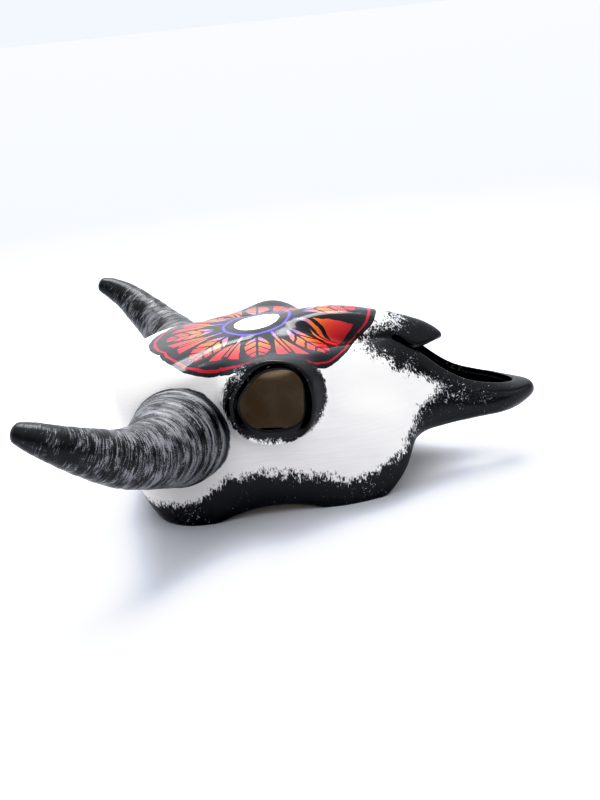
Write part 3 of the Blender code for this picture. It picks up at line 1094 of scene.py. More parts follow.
@dataclass(frozen=True)
class SkullPaint:
    """Satin acrylic, brushed white and sponged black on a fired clay casting.

    White is laid with a soft flat brush, whose strokes show only as faint streaks. The black is dabbed on
    with a dry sponge, which leaves torn edges and white flecks. Acrylic has an IOR near 1.49.
    """

    white: str = "#f5f2ee"
    white_shade: str = "#e9e6e3"
    black: str = "#0d0e10"
    black_worn: str = "#191b1e"
    dab: str = "#c9cacb"
    skirt: str = "#505357"             # grey that strays from the horns' roots
    skirt_reach: float = 0.2
    ior: float = 1.49
    coat: float = 0.3                  # thin satin varnish over all
    coat_rough: float = 0.15
    white_rough: float = 0.46
    black_rough: float = 0.30
    varnish_rough: float = 0.16
    stroke_rough: float = 0.06         # how much duller the hairs' lines are
    fleck_mm: float = 0.9              # width of one sponge mark
    fleck_long: float = 2.5
    fleck_pull: float = 15.0           # how far the marks tear the edge
    sponge_turn_deg: float = 32.0
    patch_mm: float = 4.5              # width of one touch of the sponge
    patch_pull: float = 10.0
    edge_soft: float = 0.15            # softness of the plainest edge, beside a torn one's 1
    edge_fade: tuple[float, float] = (-1.5, 0.8)
    dab_mm: float = 1.5
    dab_pull: float = 0.26
    dab_fade: tuple[float, float] = (0.68, 0.74)
    stroke_mm: float = 0.8             # spacing of brush hairs, drawn coarse enough to show
    stroke_wide: float = 9.0
    stroke_long: float = 22.0
    stroke_turn_deg: float = 14.0
    black_layer: float = 0.6           # height of the black's layer, in strokes' heights
    relief_mm: float = 0.09
    relief_strength: float = 0.55
    rosette: Rosette = Rosette()

    def build(self) -> bpy.types.Material:
        """Build the paint.

        Returns:
            The finished material.
        """
        material, tree, shader = new_material("sponged_acrylic_on_fired_clay")
        place = add_node(tree, "ShaderNodeTexCoord", output="Object")
        mm = add_node(tree, "ShaderNodeVectorMath", {0: place, "Scale": 1 / MM}, operation="SCALE")
        black = self.black_mask(tree, mm)
        strokes = self.brush_strokes(tree, mm)
        white = add_node(tree, "ShaderNodeMix", {
            MIX_FACTOR: strokes, MIX_A: linear(self.white_shade), MIX_B: linear(self.white)},
            MIX_RESULT, data_type="RGBA")
        enamel, varnish = RosettePainter(self.rosette, tree, mm).paint()
        colour = add_node(tree, "ShaderNodeMix", {MIX_FACTOR: varnish, MIX_A: white, MIX_B: enamel},
                          MIX_RESULT, data_type="RGBA")
        ink = self.ink(tree, mm, strokes)
        colour = add_node(tree, "ShaderNodeMix", {MIX_FACTOR: black, MIX_A: colour, MIX_B: ink},
                          MIX_RESULT, data_type="RGBA")
        tree.links.new(colour, shader.inputs["Base Color"])
        rough = add_node(tree, "ShaderNodeMapRange", {
            "Value": varnish, "To Min": self.white_rough, "To Max": self.varnish_rough})
        rough = add_node(tree, "ShaderNodeMix", [black, None, rough, self.black_rough])
        rough = add_node(tree, "ShaderNodeMath", [strokes, self.stroke_rough, rough],
                         operation="MULTIPLY_ADD")
        tree.links.new(rough, shader.inputs["Roughness"])
        height = add_node(tree, "ShaderNodeMath", [black, self.black_layer, strokes],
                          operation="MULTIPLY_ADD")
        bump = add_node(tree, "ShaderNodeBump", {
            "Strength": self.relief_strength, "Distance": self.relief_mm * MM, "Height": height})
        tree.links.new(bump, shader.inputs["Normal"])
        shader.inputs["IOR"].default_value = self.ior
        shader.inputs["Coat Weight"].default_value = self.coat
        shader.inputs["Coat Roughness"].default_value = self.coat_rough
        return material

    def ink(self, tree: bpy.types.NodeTree, mm: bpy.types.NodeSocket,
            strokes: bpy.types.NodeSocket) -> bpy.types.NodeSocket:
        """Colour the black, with the grey by the horns and the white dabs on it.

        Args:
            tree: The material's tree.
            mm: Place in millimetres.
            strokes: The brush's streaks.

        Returns:
            The colour.
        """
        ink = add_node(tree, "ShaderNodeMix", {
            MIX_FACTOR: strokes, MIX_A: linear(self.black), MIX_B: linear(self.black_worn)},
            MIX_RESULT, data_type="RGBA")
        root = add_node(tree, "ShaderNodeAttribute", output="Fac", attribute_name=Mark.ROOT.value)
        skirt = add_node(tree, "ShaderNodeMath", [root, self.skirt_reach], operation="LESS_THAN")
        ink = add_node(tree, "ShaderNodeMix", {MIX_FACTOR: skirt, MIX_A: ink, MIX_B: linear(self.skirt)},
                       MIX_RESULT, data_type="RGBA")
        share = add_node(tree, "ShaderNodeAttribute", output="Fac", attribute_name=Mark.DABS.value)
        dab = add_node(tree, "ShaderNodeTexNoise", {
            "Vector": mm, "Scale": 1 / self.dab_mm, "Detail": 3.0, "Roughness": 0.65, "Distortion": 1.2})
        level = add_node(tree, "ShaderNodeMath", [share, self.dab_pull, dab], operation="MULTIPLY_ADD")
        dabs = add_node(tree, "ShaderNodeMapRange", {
            "Value": level, "From Min": self.dab_fade[0], "From Max": self.dab_fade[1]})
        return add_node(tree, "ShaderNodeMix", {MIX_FACTOR: dabs, MIX_A: ink, MIX_B: linear(self.dab)},
                        MIX_RESULT, data_type="RGBA")

    def brush_strokes(self, tree: bpy.types.NodeTree, mm: bpy.types.NodeSocket) -> bpy.types.NodeSocket:
        """Draw the faint streaks of a flat brush, from the brow down towards the snout.

        Args:
            tree: The material's tree.
            mm: Place in millimetres.

        Returns:
            Brightness of the streaks, about one half on average.
        """
        laid = add_node(tree, "ShaderNodeMapping", {
            "Vector": mm, "Rotation": (0.0, math.radians(self.stroke_turn_deg), 0.0),
            "Scale": (1 / self.stroke_long, 1 / self.stroke_wide, 1 / self.stroke_mm)})
        return add_node(tree, "ShaderNodeTexNoise", {
            "Vector": laid, "Scale": 1.0, "Detail": 3.0, "Roughness": 0.55, "Distortion": 0.4})

    def black_mask(self, tree: bpy.types.NodeTree, mm: bpy.types.NodeSocket) -> bpy.types.NodeSocket:
        """Lay the black inside its drawn edge, torn by the sponge.

        Args:
            tree: The material's tree.
            mm: Place in millimetres.

        Returns:
            1 on black and 0 on white.
        """
        edge = add_node(tree, "ShaderNodeAttribute", output="Fac", attribute_name=Mark.BLACK_EDGE.value)
        ragged = add_node(tree, "ShaderNodeAttribute", output="Fac", attribute_name=Mark.RAGGED.value)
        turned = add_node(tree, "ShaderNodeMapping", {
            "Vector": mm, "Rotation": (0.0, math.radians(self.sponge_turn_deg), 0.0),
            "Scale": (1 / self.fleck_mm, 1 / self.fleck_mm, 1 / self.fleck_long)})
        fleck = add_node(tree, "ShaderNodeTexNoise", {
            "Vector": turned, "Scale": 1.0, "Detail": 2.5, "Roughness": 0.6, "Distortion": 0.8})
        patch = add_node(tree, "ShaderNodeTexNoise", {
            "Vector": mm, "Scale": 1 / self.patch_mm, "Detail": 2.0, "Roughness": 0.6})
        mean_pull = (self.fleck_pull + self.patch_pull) / 2
        torn = add_node(tree, "ShaderNodeMath", [fleck, self.fleck_pull, -mean_pull],
                        operation="MULTIPLY_ADD")
        torn = add_node(tree, "ShaderNodeMath", [patch, self.patch_pull, torn], operation="MULTIPLY_ADD")
        edge = add_node(tree, "ShaderNodeMath", [torn, ragged, edge], operation="MULTIPLY_ADD")
        softness = add_node(tree, "ShaderNodeMath", [ragged, self.edge_soft], operation="ADD")
        edge = add_node(tree, "ShaderNodeMath", [edge, softness], operation="DIVIDE")
        return add_node(tree, "ShaderNodeMapRange", {
            "Value": edge, "From Min": self.edge_fade[0], "From Max": self.edge_fade[1],
            "To Min": 1.0, "To Max": 0.0})


@dataclass
class RosettePainter:
    """Draws a rosette's motifs with shader nodes on the plan view."""

    design: Rosette
    tree: bpy.types.NodeTree
    mm: bpy.types.NodeSocket

    def within(self, value: bpy.types.NodeSocket, low: object, high: object) -> bpy.types.NodeSocket:
        """Find where a value lies between two others.

        Args:
            value: The value.
            low: Its lower bound, a number or a socket.
            high: Its upper bound, alike.

        Returns:
            1 there, else 0.
        """
        above = add_node(self.tree, "ShaderNodeMath", [value, low], operation="GREATER_THAN")
        below = add_node(self.tree, "ShaderNodeMath", [value, high], operation="LESS_THAN")
        return add_node(self.tree, "ShaderNodeMath", [above, below], operation="MULTIPLY")

    def paint(self) -> tuple[bpy.types.NodeSocket, bpy.types.NodeSocket]:
        """Draw the rosette.

        Returns:
            Its colour, and a mask that is 1 where it covers the white.
        """
        design, tree = self.design, self.tree
        reach, angle, high = self.spread()
        rim = self.rim(angle)
        scale = add_node(tree, "ShaderNodeMath", [design.mean_reach, rim], operation="DIVIDE")
        far = add_node(tree, "ShaderNodeMath", [reach, scale], operation="MULTIPLY")
        ring = self.within(reach, design.ring - design.ring_half, design.ring + design.ring_half)
        marks = add_node(tree, "ShaderNodeMath", [self.motifs(far, angle), ring], operation="MAXIMUM")
        share = add_node(tree, "ShaderNodeMath", [far, design.mean_reach], operation="DIVIDE")
        enamel = add_node(tree, "ShaderNodeValToRGB", [share], output="Color")
        fill_ramp(enamel, design.stops())
        colour = add_node(tree, "ShaderNodeMix", {MIX_FACTOR: marks, MIX_A: self.ground(), MIX_B: enamel},
                          MIX_RESULT, data_type="RGBA")
        bud = add_node(tree, "ShaderNodeMath", [reach, design.bud], operation="LESS_THAN")
        colour = add_node(tree, "ShaderNodeMix", {
            MIX_FACTOR: bud, MIX_A: colour, MIX_B: linear(design.white)}, MIX_RESULT, data_type="RGBA")
        inside = add_node(tree, "ShaderNodeMath", [reach, rim], operation="LESS_THAN")
        return colour, add_node(tree, "ShaderNodeMath", [inside, high], operation="MULTIPLY")

    def spread(self) -> tuple[bpy.types.NodeSocket, bpy.types.NodeSocket, bpy.types.NodeSocket]:
        """Lay the plan view over the crown, draped over the brow and tapered along the bridge.

        Returns:
            Distance from the centre, angle from the snout's direction, and 1 above the lowest height.
        """
        design, tree = self.design, self.tree
        stray = add_node(tree, "ShaderNodeTexNoise", {
            "Vector": self.mm, "Scale": 1 / design.waver_width, "Detail": 2.0}, output="Color")
        shaken = add_node(tree, "ShaderNodeVectorMath", [stray, (design.waver, design.waver, 0.0), self.mm],
                          operation="MULTIPLY_ADD")
        split = add_node(tree, "ShaderNodeSeparateXYZ", [shaken]).node.outputs
        down = add_node(tree, "ShaderNodeMath", [design.bridge_top, split["Z"]], operation="SUBTRACT")
        down = add_node(tree, "ShaderNodeMath", [down, 0.0], operation="MAXIMUM")
        down = add_node(tree, "ShaderNodeMath", [down, down], operation="MULTIPLY")
        start, full = (place + CENTRE_SHIFT for place in design.bridge)
        taper = add_node(tree, "ShaderNodeMapRange", {
            "Value": split["X"], "From Min": start, "From Max": full, "To Max": design.taper})
        mean_stray = design.waver / 2
        middle = design.centre_x + CENTRE_SHIFT + mean_stray
        x = add_node(tree, "ShaderNodeMath", [split["X"], middle], operation="SUBTRACT")
        x = add_node(tree, "ShaderNodeMath", [down, taper, x], operation="MULTIPLY_ADD")
        drop = add_node(tree, "ShaderNodeMath", [design.brow, split["Z"]], operation="SUBTRACT")
        drop = add_node(tree, "ShaderNodeMath", [drop, 0.0], operation="MAXIMUM")
        y = add_node(tree, "ShaderNodeMath", [split["Y"], mean_stray], operation="SUBTRACT")
        y = add_node(tree, "ShaderNodeMath", [y], operation="ABSOLUTE")
        y = add_node(tree, "ShaderNodeMath", [drop, design.drape, y], operation="MULTIPLY_ADD")
        square = add_node(tree, "ShaderNodeMath", [y, y], operation="MULTIPLY")
        square = add_node(tree, "ShaderNodeMath", [x, x, square], operation="MULTIPLY_ADD")
        reach = add_node(tree, "ShaderNodeMath", [square], operation="SQRT")
        angle = add_node(tree, "ShaderNodeMath", [y, x], operation="ARCTAN2")
        high = add_node(tree, "ShaderNodeMath", [split["Z"], design.lowest], operation="GREATER_THAN")
        return reach, angle, high

    def rim(self, angle: bpy.types.NodeSocket) -> bpy.types.NodeSocket:
        """Draw the lobed outline.

        Args:
            angle: Angle from the snout's direction.

        Returns:
            The outline's reach from the centre at that angle.
        """
        design, tree = self.design, self.tree
        ahead = add_node(tree, "ShaderNodeMath", [angle], operation="COSINE")
        whole = add_node(tree, "ShaderNodeMath", [ahead, design.forward_reach, design.mean_reach],
                         operation="MULTIPLY_ADD")
        double = add_node(tree, "ShaderNodeMath", [angle, 2.0], operation="MULTIPLY")
        ends = add_node(tree, "ShaderNodeMath", [double], operation="COSINE")
        whole = add_node(tree, "ShaderNodeMath", [ends, design.long_reach, whole],
                         operation="MULTIPLY_ADD")
        waves = add_node(tree, "ShaderNodeMath", [angle, design.lobes / 2], operation="MULTIPLY")
        waves = add_node(tree, "ShaderNodeMath", [waves], operation="COSINE")
        waves = add_node(tree, "ShaderNodeMath", [waves], operation="ABSOLUTE")
        full = add_node(tree, "ShaderNodeMath", [waves, design.fullness], operation="POWER")
        lobes = add_node(tree, "ShaderNodeMath", [full, design.notch, -design.notch],
                         operation="MULTIPLY_ADD")
        return add_node(tree, "ShaderNodeMath", [whole, lobes], operation="ADD")

    def motifs(self, far: bpy.types.NodeSocket, angle: bpy.types.NodeSocket) -> bpy.types.NodeSocket:
        """Draw leaves on the lobes, rays and darts between them, and a line along the rim.

        Args:
            far: Distance from the centre, scaled so that every lobe is as long as the mean one.
            angle: Angle from the snout's direction.

        Returns:
            1 where there is coloured enamel.
        """
        design, tree = self.design, self.tree
        half = math.pi / design.lobes
        lobe_angle = add_node(tree, "ShaderNodeMath", [angle, half], operation="PINGPONG")
        gap_angle = add_node(tree, "ShaderNodeMath", [half, lobe_angle], operation="SUBTRACT")
        rim_line = self.within(far, *(design.mean_reach - inset for inset in design.rim_line))
        found = add_node(tree, "ShaderNodeMath", [self.leaf(far, lobe_angle), rim_line],
                         operation="MAXIMUM")
        return add_node(tree, "ShaderNodeMath", [self.rays(far, gap_angle), found], operation="MAXIMUM")

    def leaf(self, far: bpy.types.NodeSocket, lobe_angle: bpy.types.NodeSocket) -> bpy.types.NodeSocket:
        """Draw a pointed leaf with its veins left black.

        Args:
            far: Scaled distance from the centre.
            lobe_angle: Angle from the nearest lobe's middle line.

        Returns:
            1 on the leaf.
        """
        design, tree = self.design, self.tree
        ahead = add_node(tree, "ShaderNodeMath", [lobe_angle], operation="COSINE")
        ahead = add_node(tree, "ShaderNodeMath", [far, ahead], operation="MULTIPLY")
        aside = add_node(tree, "ShaderNodeMath", [lobe_angle], operation="SINE")
        aside = add_node(tree, "ShaderNodeMath", [far, aside], operation="MULTIPLY")
        share = add_node(tree, "ShaderNodeMath", [ahead, design.leaf_from], operation="SUBTRACT")
        share = add_node(tree, "ShaderNodeMath", [share, design.leaf_long], operation="DIVIDE")
        rest = add_node(tree, "ShaderNodeMath", [1.0, share], operation="SUBTRACT")
        bulge = add_node(tree, "ShaderNodeMath", [share, rest], operation="MULTIPLY")
        edge = add_node(tree, "ShaderNodeMath", [bulge, design.leaf_wide], operation="MULTIPLY")
        blade = self.within(aside, design.vein_half, edge)
        bars = add_node(tree, "ShaderNodeMath", [aside, design.bar_slant, ahead],
                        operation="MULTIPLY_ADD")
        bars = add_node(tree, "ShaderNodeMath", [bars, design.bar_step], operation="DIVIDE")
        bars = add_node(tree, "ShaderNodeMath", [bars], operation="FRACT")
        bars = add_node(tree, "ShaderNodeMath", [bars, design.bar_gap], operation="GREATER_THAN")
        return add_node(tree, "ShaderNodeMath", [blade, bars], operation="MULTIPLY")

    def rays(self, far: bpy.types.NodeSocket, gap_angle: bpy.types.NodeSocket) -> bpy.types.NodeSocket:
        """Draw a thin ray with a dart on each side.

        Args:
            far: Scaled distance from the centre.
            gap_angle: Angle from the nearest notch.

        Returns:
            1 on the ray and the darts.
        """
        design, tree = self.design, self.tree
        ahead = add_node(tree, "ShaderNodeMath", [gap_angle], operation="COSINE")
        ahead = add_node(tree, "ShaderNodeMath", [far, ahead], operation="MULTIPLY")
        aside = add_node(tree, "ShaderNodeMath", [gap_angle], operation="SINE")
        aside = add_node(tree, "ShaderNodeMath", [far, aside], operation="MULTIPLY")
        thin = add_node(tree, "ShaderNodeMath", [aside, design.ray_half], operation="LESS_THAN")
        ray = add_node(tree, "ShaderNodeMath", [thin, self.within(ahead, *design.ray_ends)],
                       operation="MULTIPLY")
        slope = add_node(tree, "ShaderNodeMath", [ahead, *design.dart_slope], operation="MULTIPLY_ADD")
        wide = self.within(aside, design.dart_inner, slope)
        dart = add_node(tree, "ShaderNodeMath", [wide, self.within(ahead, *design.dart_ends)],
                        operation="MULTIPLY")
        return add_node(tree, "ShaderNodeMath", [ray, dart], operation="MAXIMUM")

    def ground(self) -> bpy.types.NodeSocket:
        """Lay the black ground, with the fine lines of the brush in it.

        Returns:
            Its colour.
        """
        design, tree = self.design, self.tree
        laid = add_node(tree, "ShaderNodeMapping", {
            "Vector": self.mm, "Scale": (1 / design.hair_long, 1 / design.hair_mm, 1 / design.hair_long)})
        hairs = add_node(tree, "ShaderNodeTexNoise", {"Vector": laid, "Scale": 1.0, "Detail": 2.0})
        return add_node(tree, "ShaderNodeMix", {
            MIX_FACTOR: hairs, MIX_A: linear(design.ground), MIX_B: linear(design.ground_worn)},
            MIX_RESULT, data_type="RGBA")


@dataclass(frozen=True)
class BareClay:
    """Unglazed fired earthenware inside the casting: matt, warm tan, with pale drags of dried slip."""

    clay: str = "#dac7ab"
    pale: str = "#efe4d2"
    pale_fade: tuple[float, float] = (0.5, 0.9)
    spray: str = "#0d0e10"             # black paint that strayed inside
    spray_mm: float = 6.0
    spray_fade: tuple[float, float] = (1.0, 5.0)
    rough: float = 0.88
    grain_mm: float = 0.9
    grain_share: float = 0.35          # of the grain in the pale drags
    drag_mm: float = 14.0
    relief_mm: float = 0.15
    relief_strength: float = 0.4

    def build(self) -> bpy.types.Material:
        """Build the clay.

        Returns:
            The finished material.
        """
        material, tree, shader = new_material("bare_fired_earthenware")
        place = add_node(tree, "ShaderNodeTexCoord", output="Object")
        drag = add_node(tree, "ShaderNodeTexNoise", {
            "Vector": place, "Scale": 1 / (self.drag_mm * MM), "Detail": 3.0, "Distortion": 0.7})
        grain = add_node(tree, "ShaderNodeTexNoise", {
            "Vector": place, "Scale": 1 / (self.grain_mm * MM), "Detail": 2.0})
        mixed = add_node(tree, "ShaderNodeMath", [grain, self.grain_share, drag],
                         operation="MULTIPLY_ADD")
        share = add_node(tree, "ShaderNodeMapRange", {
            "Value": mixed, "From Min": self.pale_fade[0], "From Max": self.pale_fade[1]})
        colour = add_node(tree, "ShaderNodeMix", {
            MIX_FACTOR: share, MIX_A: linear(self.clay), MIX_B: linear(self.pale)},
            MIX_RESULT, data_type="RGBA")
        edge = add_node(tree, "ShaderNodeAttribute", output="Fac", attribute_name=Mark.BLACK_EDGE.value)
        torn = add_node(tree, "ShaderNodeMath", [grain, self.spray_mm, edge], operation="MULTIPLY_ADD")
        bare = add_node(tree, "ShaderNodeMapRange", {
            "Value": torn, "From Min": self.spray_fade[0], "From Max": self.spray_fade[1]})
        colour = add_node(tree, "ShaderNodeMix", {
            MIX_FACTOR: bare, MIX_A: linear(self.spray), MIX_B: colour}, MIX_RESULT, data_type="RGBA")
        tree.links.new(colour, shader.inputs["Base Color"])
        bump = add_node(tree, "ShaderNodeBump", {
            "Strength": self.relief_strength, "Distance": self.relief_mm * MM, "Height": grain})
        tree.links.new(bump, shader.inputs["Normal"])
        shader.inputs["Roughness"].default_value = self.rough
        return material


@dataclass(frozen=True)
class HornPaint:
    """Black acrylic with light grey dry-brushed round the horn over its growth rings.

    The nearly dry brush touches only the raised rings, so it leaves thin broken lines round the horn. They
    thin out to the tip, which is left nearly black with a satin shine. The collar is plain dark grey.
    """

    black: str = "#0b0c0d"
    worn: str = "#1b1d1f"
    brushed: str = "#6b6c6f"
    bright: str = "#aeafb2"
    collar: str = "#66696d"
    collar_share: float = 0.045
    ior: float = 1.49
    coat: float = 0.3                  # satin varnish
    coat_rough: float = 0.14
    rough: float = 0.34
    brushed_rough: float = 0.55
    line_mm: float = 0.36              # width of a fine line, drawn coarse enough to show
    line_long: float = 13.0
    line_waver: float = 0.9
    broad_mm: float = 1.26             # width of a bundle of lines
    broad_waver: float = 0.6
    broad_weight: float = 0.45
    speck_mm: float = 0.55
    speck_weight: float = 0.55
    patch_long: float = 12.0
    patch_mm: float = 4.5
    patch_weight: float = 0.7
    raised_weight: float = 0.35        # for each millimetre of a ring's height
    load_weight: float = 0.45
    fade: tuple[float, float] = (1.71, 1.83)
    grey_layer: float = 0.5            # height of the grey's layer, in lines' heights
    relief_mm: float = 0.14
    relief_strength: float = 0.6
    loads: tuple[tuple[float, float], ...] = (
        (0.02, 0.0), (0.10, 0.95), (0.40, 0.88), (0.58, 0.66), (0.76, 0.4), (1.0, 0.15))

    def build(self) -> bpy.types.Material:
        """Build the paint.

        Returns:
            The finished material.
        """
        material, tree, shader = new_material("dry_brushed_acrylic_on_fired_clay")
        place = add_node(tree, "ShaderNodeAttribute", output="Vector", attribute_name=Mark.PLACE.value)
        age = add_node(tree, "ShaderNodeAttribute", output="Fac", attribute_name=Mark.AGE.value)
        lines = self.lines(tree, place, self.line_mm, self.line_waver)
        broad = self.lines(tree, place, self.broad_mm, self.broad_waver)
        spread = add_node(tree, "ShaderNodeMapping", {
            "Vector": place, "Scale": (1 / self.patch_long, 1 / self.patch_long, 1 / self.patch_mm)})
        patch = add_node(tree, "ShaderNodeTexNoise", {
            "Vector": spread, "Scale": 1.0, "Detail": 2.0, "Roughness": 0.5, "Distortion": 0.3})
        mask = self.brushed_mask(tree, place, age, lines, broad, patch)
        grey = add_node(tree, "ShaderNodeMix", {
            MIX_FACTOR: broad, MIX_A: linear(self.brushed), MIX_B: linear(self.bright)},
            MIX_RESULT, data_type="RGBA")
        ink = add_node(tree, "ShaderNodeMix", {
            MIX_FACTOR: patch, MIX_A: linear(self.black), MIX_B: linear(self.worn)},
            MIX_RESULT, data_type="RGBA")
        colour = add_node(tree, "ShaderNodeMix", {MIX_FACTOR: mask, MIX_A: ink, MIX_B: grey},
                          MIX_RESULT, data_type="RGBA")
        collar = add_node(tree, "ShaderNodeMapRange", {
            "Value": age, "From Min": self.collar_share, "From Max": self.collar_share / 2})
        colour = add_node(tree, "ShaderNodeMix", {
            MIX_FACTOR: collar, MIX_A: colour, MIX_B: linear(self.collar)}, MIX_RESULT, data_type="RGBA")
        tree.links.new(colour, shader.inputs["Base Color"])
        rough = add_node(tree, "ShaderNodeMapRange", {
            "Value": mask, "To Min": self.rough, "To Max": self.brushed_rough})
        tree.links.new(rough, shader.inputs["Roughness"])
        height = add_node(tree, "ShaderNodeMath", [mask, self.grey_layer, lines],
                          operation="MULTIPLY_ADD")
        bump = add_node(tree, "ShaderNodeBump", {
            "Strength": self.relief_strength, "Distance": self.relief_mm * MM, "Height": height})
        tree.links.new(bump, shader.inputs["Normal"])
        shader.inputs["IOR"].default_value = self.ior
        shader.inputs["Coat Weight"].default_value = self.coat
        shader.inputs["Coat Roughness"].default_value = self.coat_rough
        return material

    def lines(self, tree: bpy.types.NodeTree, place: bpy.types.NodeSocket, width: float,
              waver: float) -> bpy.types.NodeSocket:
        """Draw thin lines round the horn.

        Args:
            tree: The material's tree.
            place: Place round and along the horn, in millimetres.
            width: Width of one line.
            waver: How far the lines stray.

        Returns:
            Brightness of the lines, about one half on average.
        """
        laid = add_node(tree, "ShaderNodeMapping", {
            "Vector": place, "Scale": (1 / self.line_long, 1 / self.line_long, 1 / width)})
        return add_node(tree, "ShaderNodeTexNoise", {
            "Vector": laid, "Scale": 1.0, "Detail": 2.0, "Roughness": 0.55, "Distortion": waver})

    def brushed_mask(self, tree: bpy.types.NodeTree, place: bpy.types.NodeSocket,
                     age: bpy.types.NodeSocket, lines: bpy.types.NodeSocket,
                     broad: bpy.types.NodeSocket, patch: bpy.types.NodeSocket) -> bpy.types.NodeSocket:
        """Find where the dry brush left grey: on the rings' crests, where it was well loaded.

        Args:
            tree: The material's tree.
            place: Place round and along the horn, in millimetres.
            age: 0 at the collar, 1 at the tip.
            lines: Brightness of the fine lines.
            broad: Brightness of their bundles.
            patch: Brightness of the brush's touches.

        Returns:
            1 on grey and 0 on black.
        """
        raised = add_node(tree, "ShaderNodeAttribute", output="Fac", attribute_name=Mark.RAISED.value)
        speck = add_node(tree, "ShaderNodeTexNoise", {
            "Vector": place, "Scale": 1 / self.speck_mm, "Detail": 1.0})
        load = add_node(tree, "ShaderNodeValToRGB", [age], output="Color")
        fill_ramp(load, [(share, (amount, amount, amount, 1.0)) for share, amount in self.loads])
        level = lines
        for part, weight in ((broad, self.broad_weight), (patch, self.patch_weight),
                             (raised, self.raised_weight), (load, self.load_weight),
                             (speck, self.speck_weight)):
            level = add_node(tree, "ShaderNodeMath", [part, weight, level], operation="MULTIPLY_ADD")
        return add_node(tree, "ShaderNodeMapRange", {
            "Value": level, "From Min": self.fade[0], "From Max": self.fade[1]})


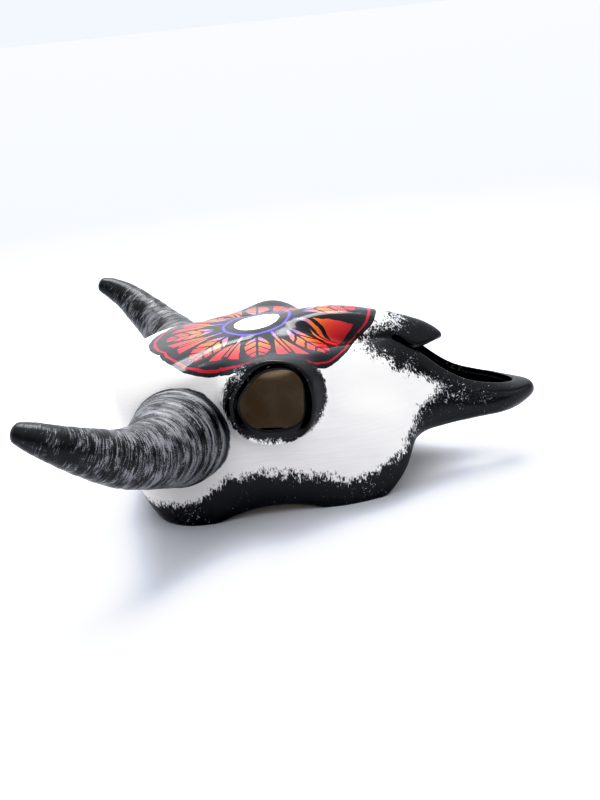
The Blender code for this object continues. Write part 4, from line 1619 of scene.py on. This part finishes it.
@dataclass
class Studio:
    """Pale floor, soft light and the camera, sizes in metres."""

    floor_half: float = 60.0
    # The floor's colour darkens from the near colour to the far one with distance from the ornament: a
    # painted falloff of the light round it.
    floor_colour: str = "#d9dadd"
    far_shaded_colour: str = "#b4b7bd"
    falloff_turns: tuple[float, float] = (0.32, 0.85)     # where the near colour turns into the far one
    paper_rough: float = 0.8
    fibres_per_metre: float = 900.0    # drawn coarse enough to show
    fibre_relief_mm: float = 0.05
    fibre_strength: float = 0.08
    seen_colour: str = "#c9ced6"
    sky_colour: str = "#f1f3f8"
    low_light: float = 0.20            # sky at the horizon
    high_light: float = 1.20           # and overhead
    back_light: float = 0.55           # added where the white sweep behind the ornament shines back
    back_from: float = 0.1
    key_strength: float = 1.4
    key_spread_deg: float = 36.0
    key_tilt_deg: tuple[float, float] = (-25.0, 2.0)    # about x and y, so that the light comes from behind
    black_point: float = 0.015
    white_point: float = 0.71
    tone_curve: tuple[tuple[float, float], ...] = ((0.12, 0.055), (0.30, 0.215), (0.62, 0.57), (0.85, 0.92))
    camera_place: Point = (-0.00325, -0.4965, 0.232)
    pitch_deg: float = 21.1
    roll_deg: float = -6.1
    lens_mm: float = 45.0
    sensor_mm: float = 36.0

    def build(self) -> None:
        """Set up floor, sky, lights and camera."""
        self.floor()
        self.sky()
        self.key()
        self.camera()
        self.tone()

    def floor(self) -> None:
        """Lay a pale matt paper floor, painted darker away from the ornament as falloff of the light."""
        half = self.floor_half
        mesh = bpy.data.meshes.new("paper_floor")
        corners = [(-half, -half, 0), (half, -half, 0), (half, half, 0), (-half, half, 0)]
        mesh.from_pydata(corners, [], [(0, 1, 2, 3)])
        floor = bpy.data.objects.new("paper_floor", mesh)
        bpy.context.scene.collection.objects.link(floor)
        material, tree, shader = new_material("matt_studio_paper_with_painted_falloff")
        place = add_node(tree, "ShaderNodeTexCoord", output="Object")
        fibre = add_node(tree, "ShaderNodeTexNoise", {
            "Vector": place, "Scale": self.fibres_per_metre, "Detail": 2.0})
        bump = add_node(tree, "ShaderNodeBump", {
            "Strength": self.fibre_strength, "Distance": self.fibre_relief_mm * MM, "Height": fibre})
        tree.links.new(bump, shader.inputs["Normal"])
        # Painted falloff of the light: the paper darkens further from the ornament.
        away = add_node(tree, "ShaderNodeVectorMath", [place], output="Value", operation="LENGTH")
        share = add_node(tree, "ShaderNodeMapRange", {
            "Value": away, "From Min": self.falloff_turns[0], "From Max": self.falloff_turns[1]})
        colour = add_node(tree, "ShaderNodeMix", {
            MIX_FACTOR: share, MIX_A: linear(self.floor_colour), MIX_B: linear(self.far_shaded_colour)},
            MIX_RESULT, data_type="RGBA")
        tree.links.new(colour, shader.inputs["Base Color"])
        shader.inputs["Roughness"].default_value = self.paper_rough
        mesh.materials.append(material)

    def sky(self) -> None:
        """Surround the set with soft light, brightest overhead; the camera itself sees plain white."""
        world = bpy.data.worlds.new("white_sweep")
        world.use_nodes = True
        tree = world.node_tree
        shown = tree.nodes["Background"]
        shown.inputs["Color"].default_value = linear(self.seen_colour)
        way = add_node(tree, "ShaderNodeTexCoord", output="Generated")
        split = add_node(tree, "ShaderNodeSeparateXYZ", [way]).node
        level = add_node(tree, "ShaderNodeMapRange", {
            "Value": split.outputs["Z"], "To Min": self.low_light, "To Max": self.high_light})
        behind = add_node(tree, "ShaderNodeMapRange", {
            "Value": split.outputs["Y"], "From Min": self.back_from})
        level = add_node(tree, "ShaderNodeMath", [behind, self.back_light, level],
                         operation="MULTIPLY_ADD")
        light = add_node(tree, "ShaderNodeBackground", {"Color": linear(self.sky_colour), "Strength": level})
        seen = add_node(tree, "ShaderNodeLightPath", output="Is Camera Ray")
        both = add_node(tree, "ShaderNodeMixShader", [seen, light, shown.outputs["Background"]])
        tree.links.new(both, tree.nodes["World Output"].inputs["Surface"])
        bpy.context.scene.world = world

    def key(self) -> None:
        """Light the set from above and a little behind by one very broad soft source."""
        light = bpy.data.lights.new("key", "SUN")
        light.energy = self.key_strength
        light.angle = math.radians(self.key_spread_deg)
        lamp = bpy.data.objects.new("key", light)
        lamp.rotation_euler = [math.radians(tilt) for tilt in (*self.key_tilt_deg, 0.0)]
        bpy.context.scene.collection.objects.link(lamp)

    def tone(self) -> None:
        """Develop the picture plainly, with deep blacks and blown out whites."""
        view = bpy.context.scene.view_settings
        view.view_transform = "Standard"
        view.use_curve_mapping = True
        tones = view.curve_mapping
        tones.black_level = (self.black_point,) * 3
        tones.white_level = (self.white_point,) * 3
        for light, shown in self.tone_curve:
            tones.curves[3].points.new(light, shown)
        tones.update()

    def camera(self) -> None:
        """Place the camera at the photograph's viewpoint."""
        pitch, roll = math.radians(self.pitch_deg), math.radians(self.roll_deg)
        right = Vector((1, 0, 0))
        up = Vector((0, math.sin(pitch), math.cos(pitch)))
        ahead = Vector((0, math.cos(pitch), -math.sin(pitch)))
        rolled_right = math.cos(roll) * right + math.sin(roll) * up
        rolled_up = math.cos(roll) * up - math.sin(roll) * right
        data = bpy.data.cameras.new("camera")
        data.lens = self.lens_mm
        data.sensor_width = self.sensor_mm
        camera = bpy.data.objects.new("camera", data)
        bpy.context.scene.collection.objects.link(camera)
        matrix = Matrix((rolled_right, rolled_up, -ahead)).transposed().to_4x4()
        matrix.translation = self.camera_place
        camera.matrix_world = matrix
        bpy.context.scene.camera = camera


def surface_of(piece: bpy.types.Object) -> BVHTree:
    """Read a piece's surface, for finding where things meet it.

    Args:
        piece: The piece.

    Returns:
        Its surface in the drawing's millimetres.
    """
    places = [Vector(place) for place in drawing_places(piece.data)]
    return BVHTree.FromPolygons(places, [list(polygon.vertices) for polygon in piece.data.polygons])


def main() -> None:
    """Build the ornament's pieces and the studio in order."""
    logging.basicConfig(level=logging.INFO, format="%(name)s %(message)s")
    Studio().build()
    horns = [Horn(side) for side in Side]
    skull = CastSkull().build(horns)
    for number, finish in enumerate((SkullPaint(), BareClay())):
        skull.data.materials[number] = finish.build()
    settle(skull, "skull")
    surface = surface_of(skull)
    paint = HornPaint().build()
    for horn in horns:
        piece = horn.build(surface)
        piece.data.materials.append(paint)
        settle(piece, f"horn_{horn.side.name.lower()}")


if __name__ == "__main__":
    main()
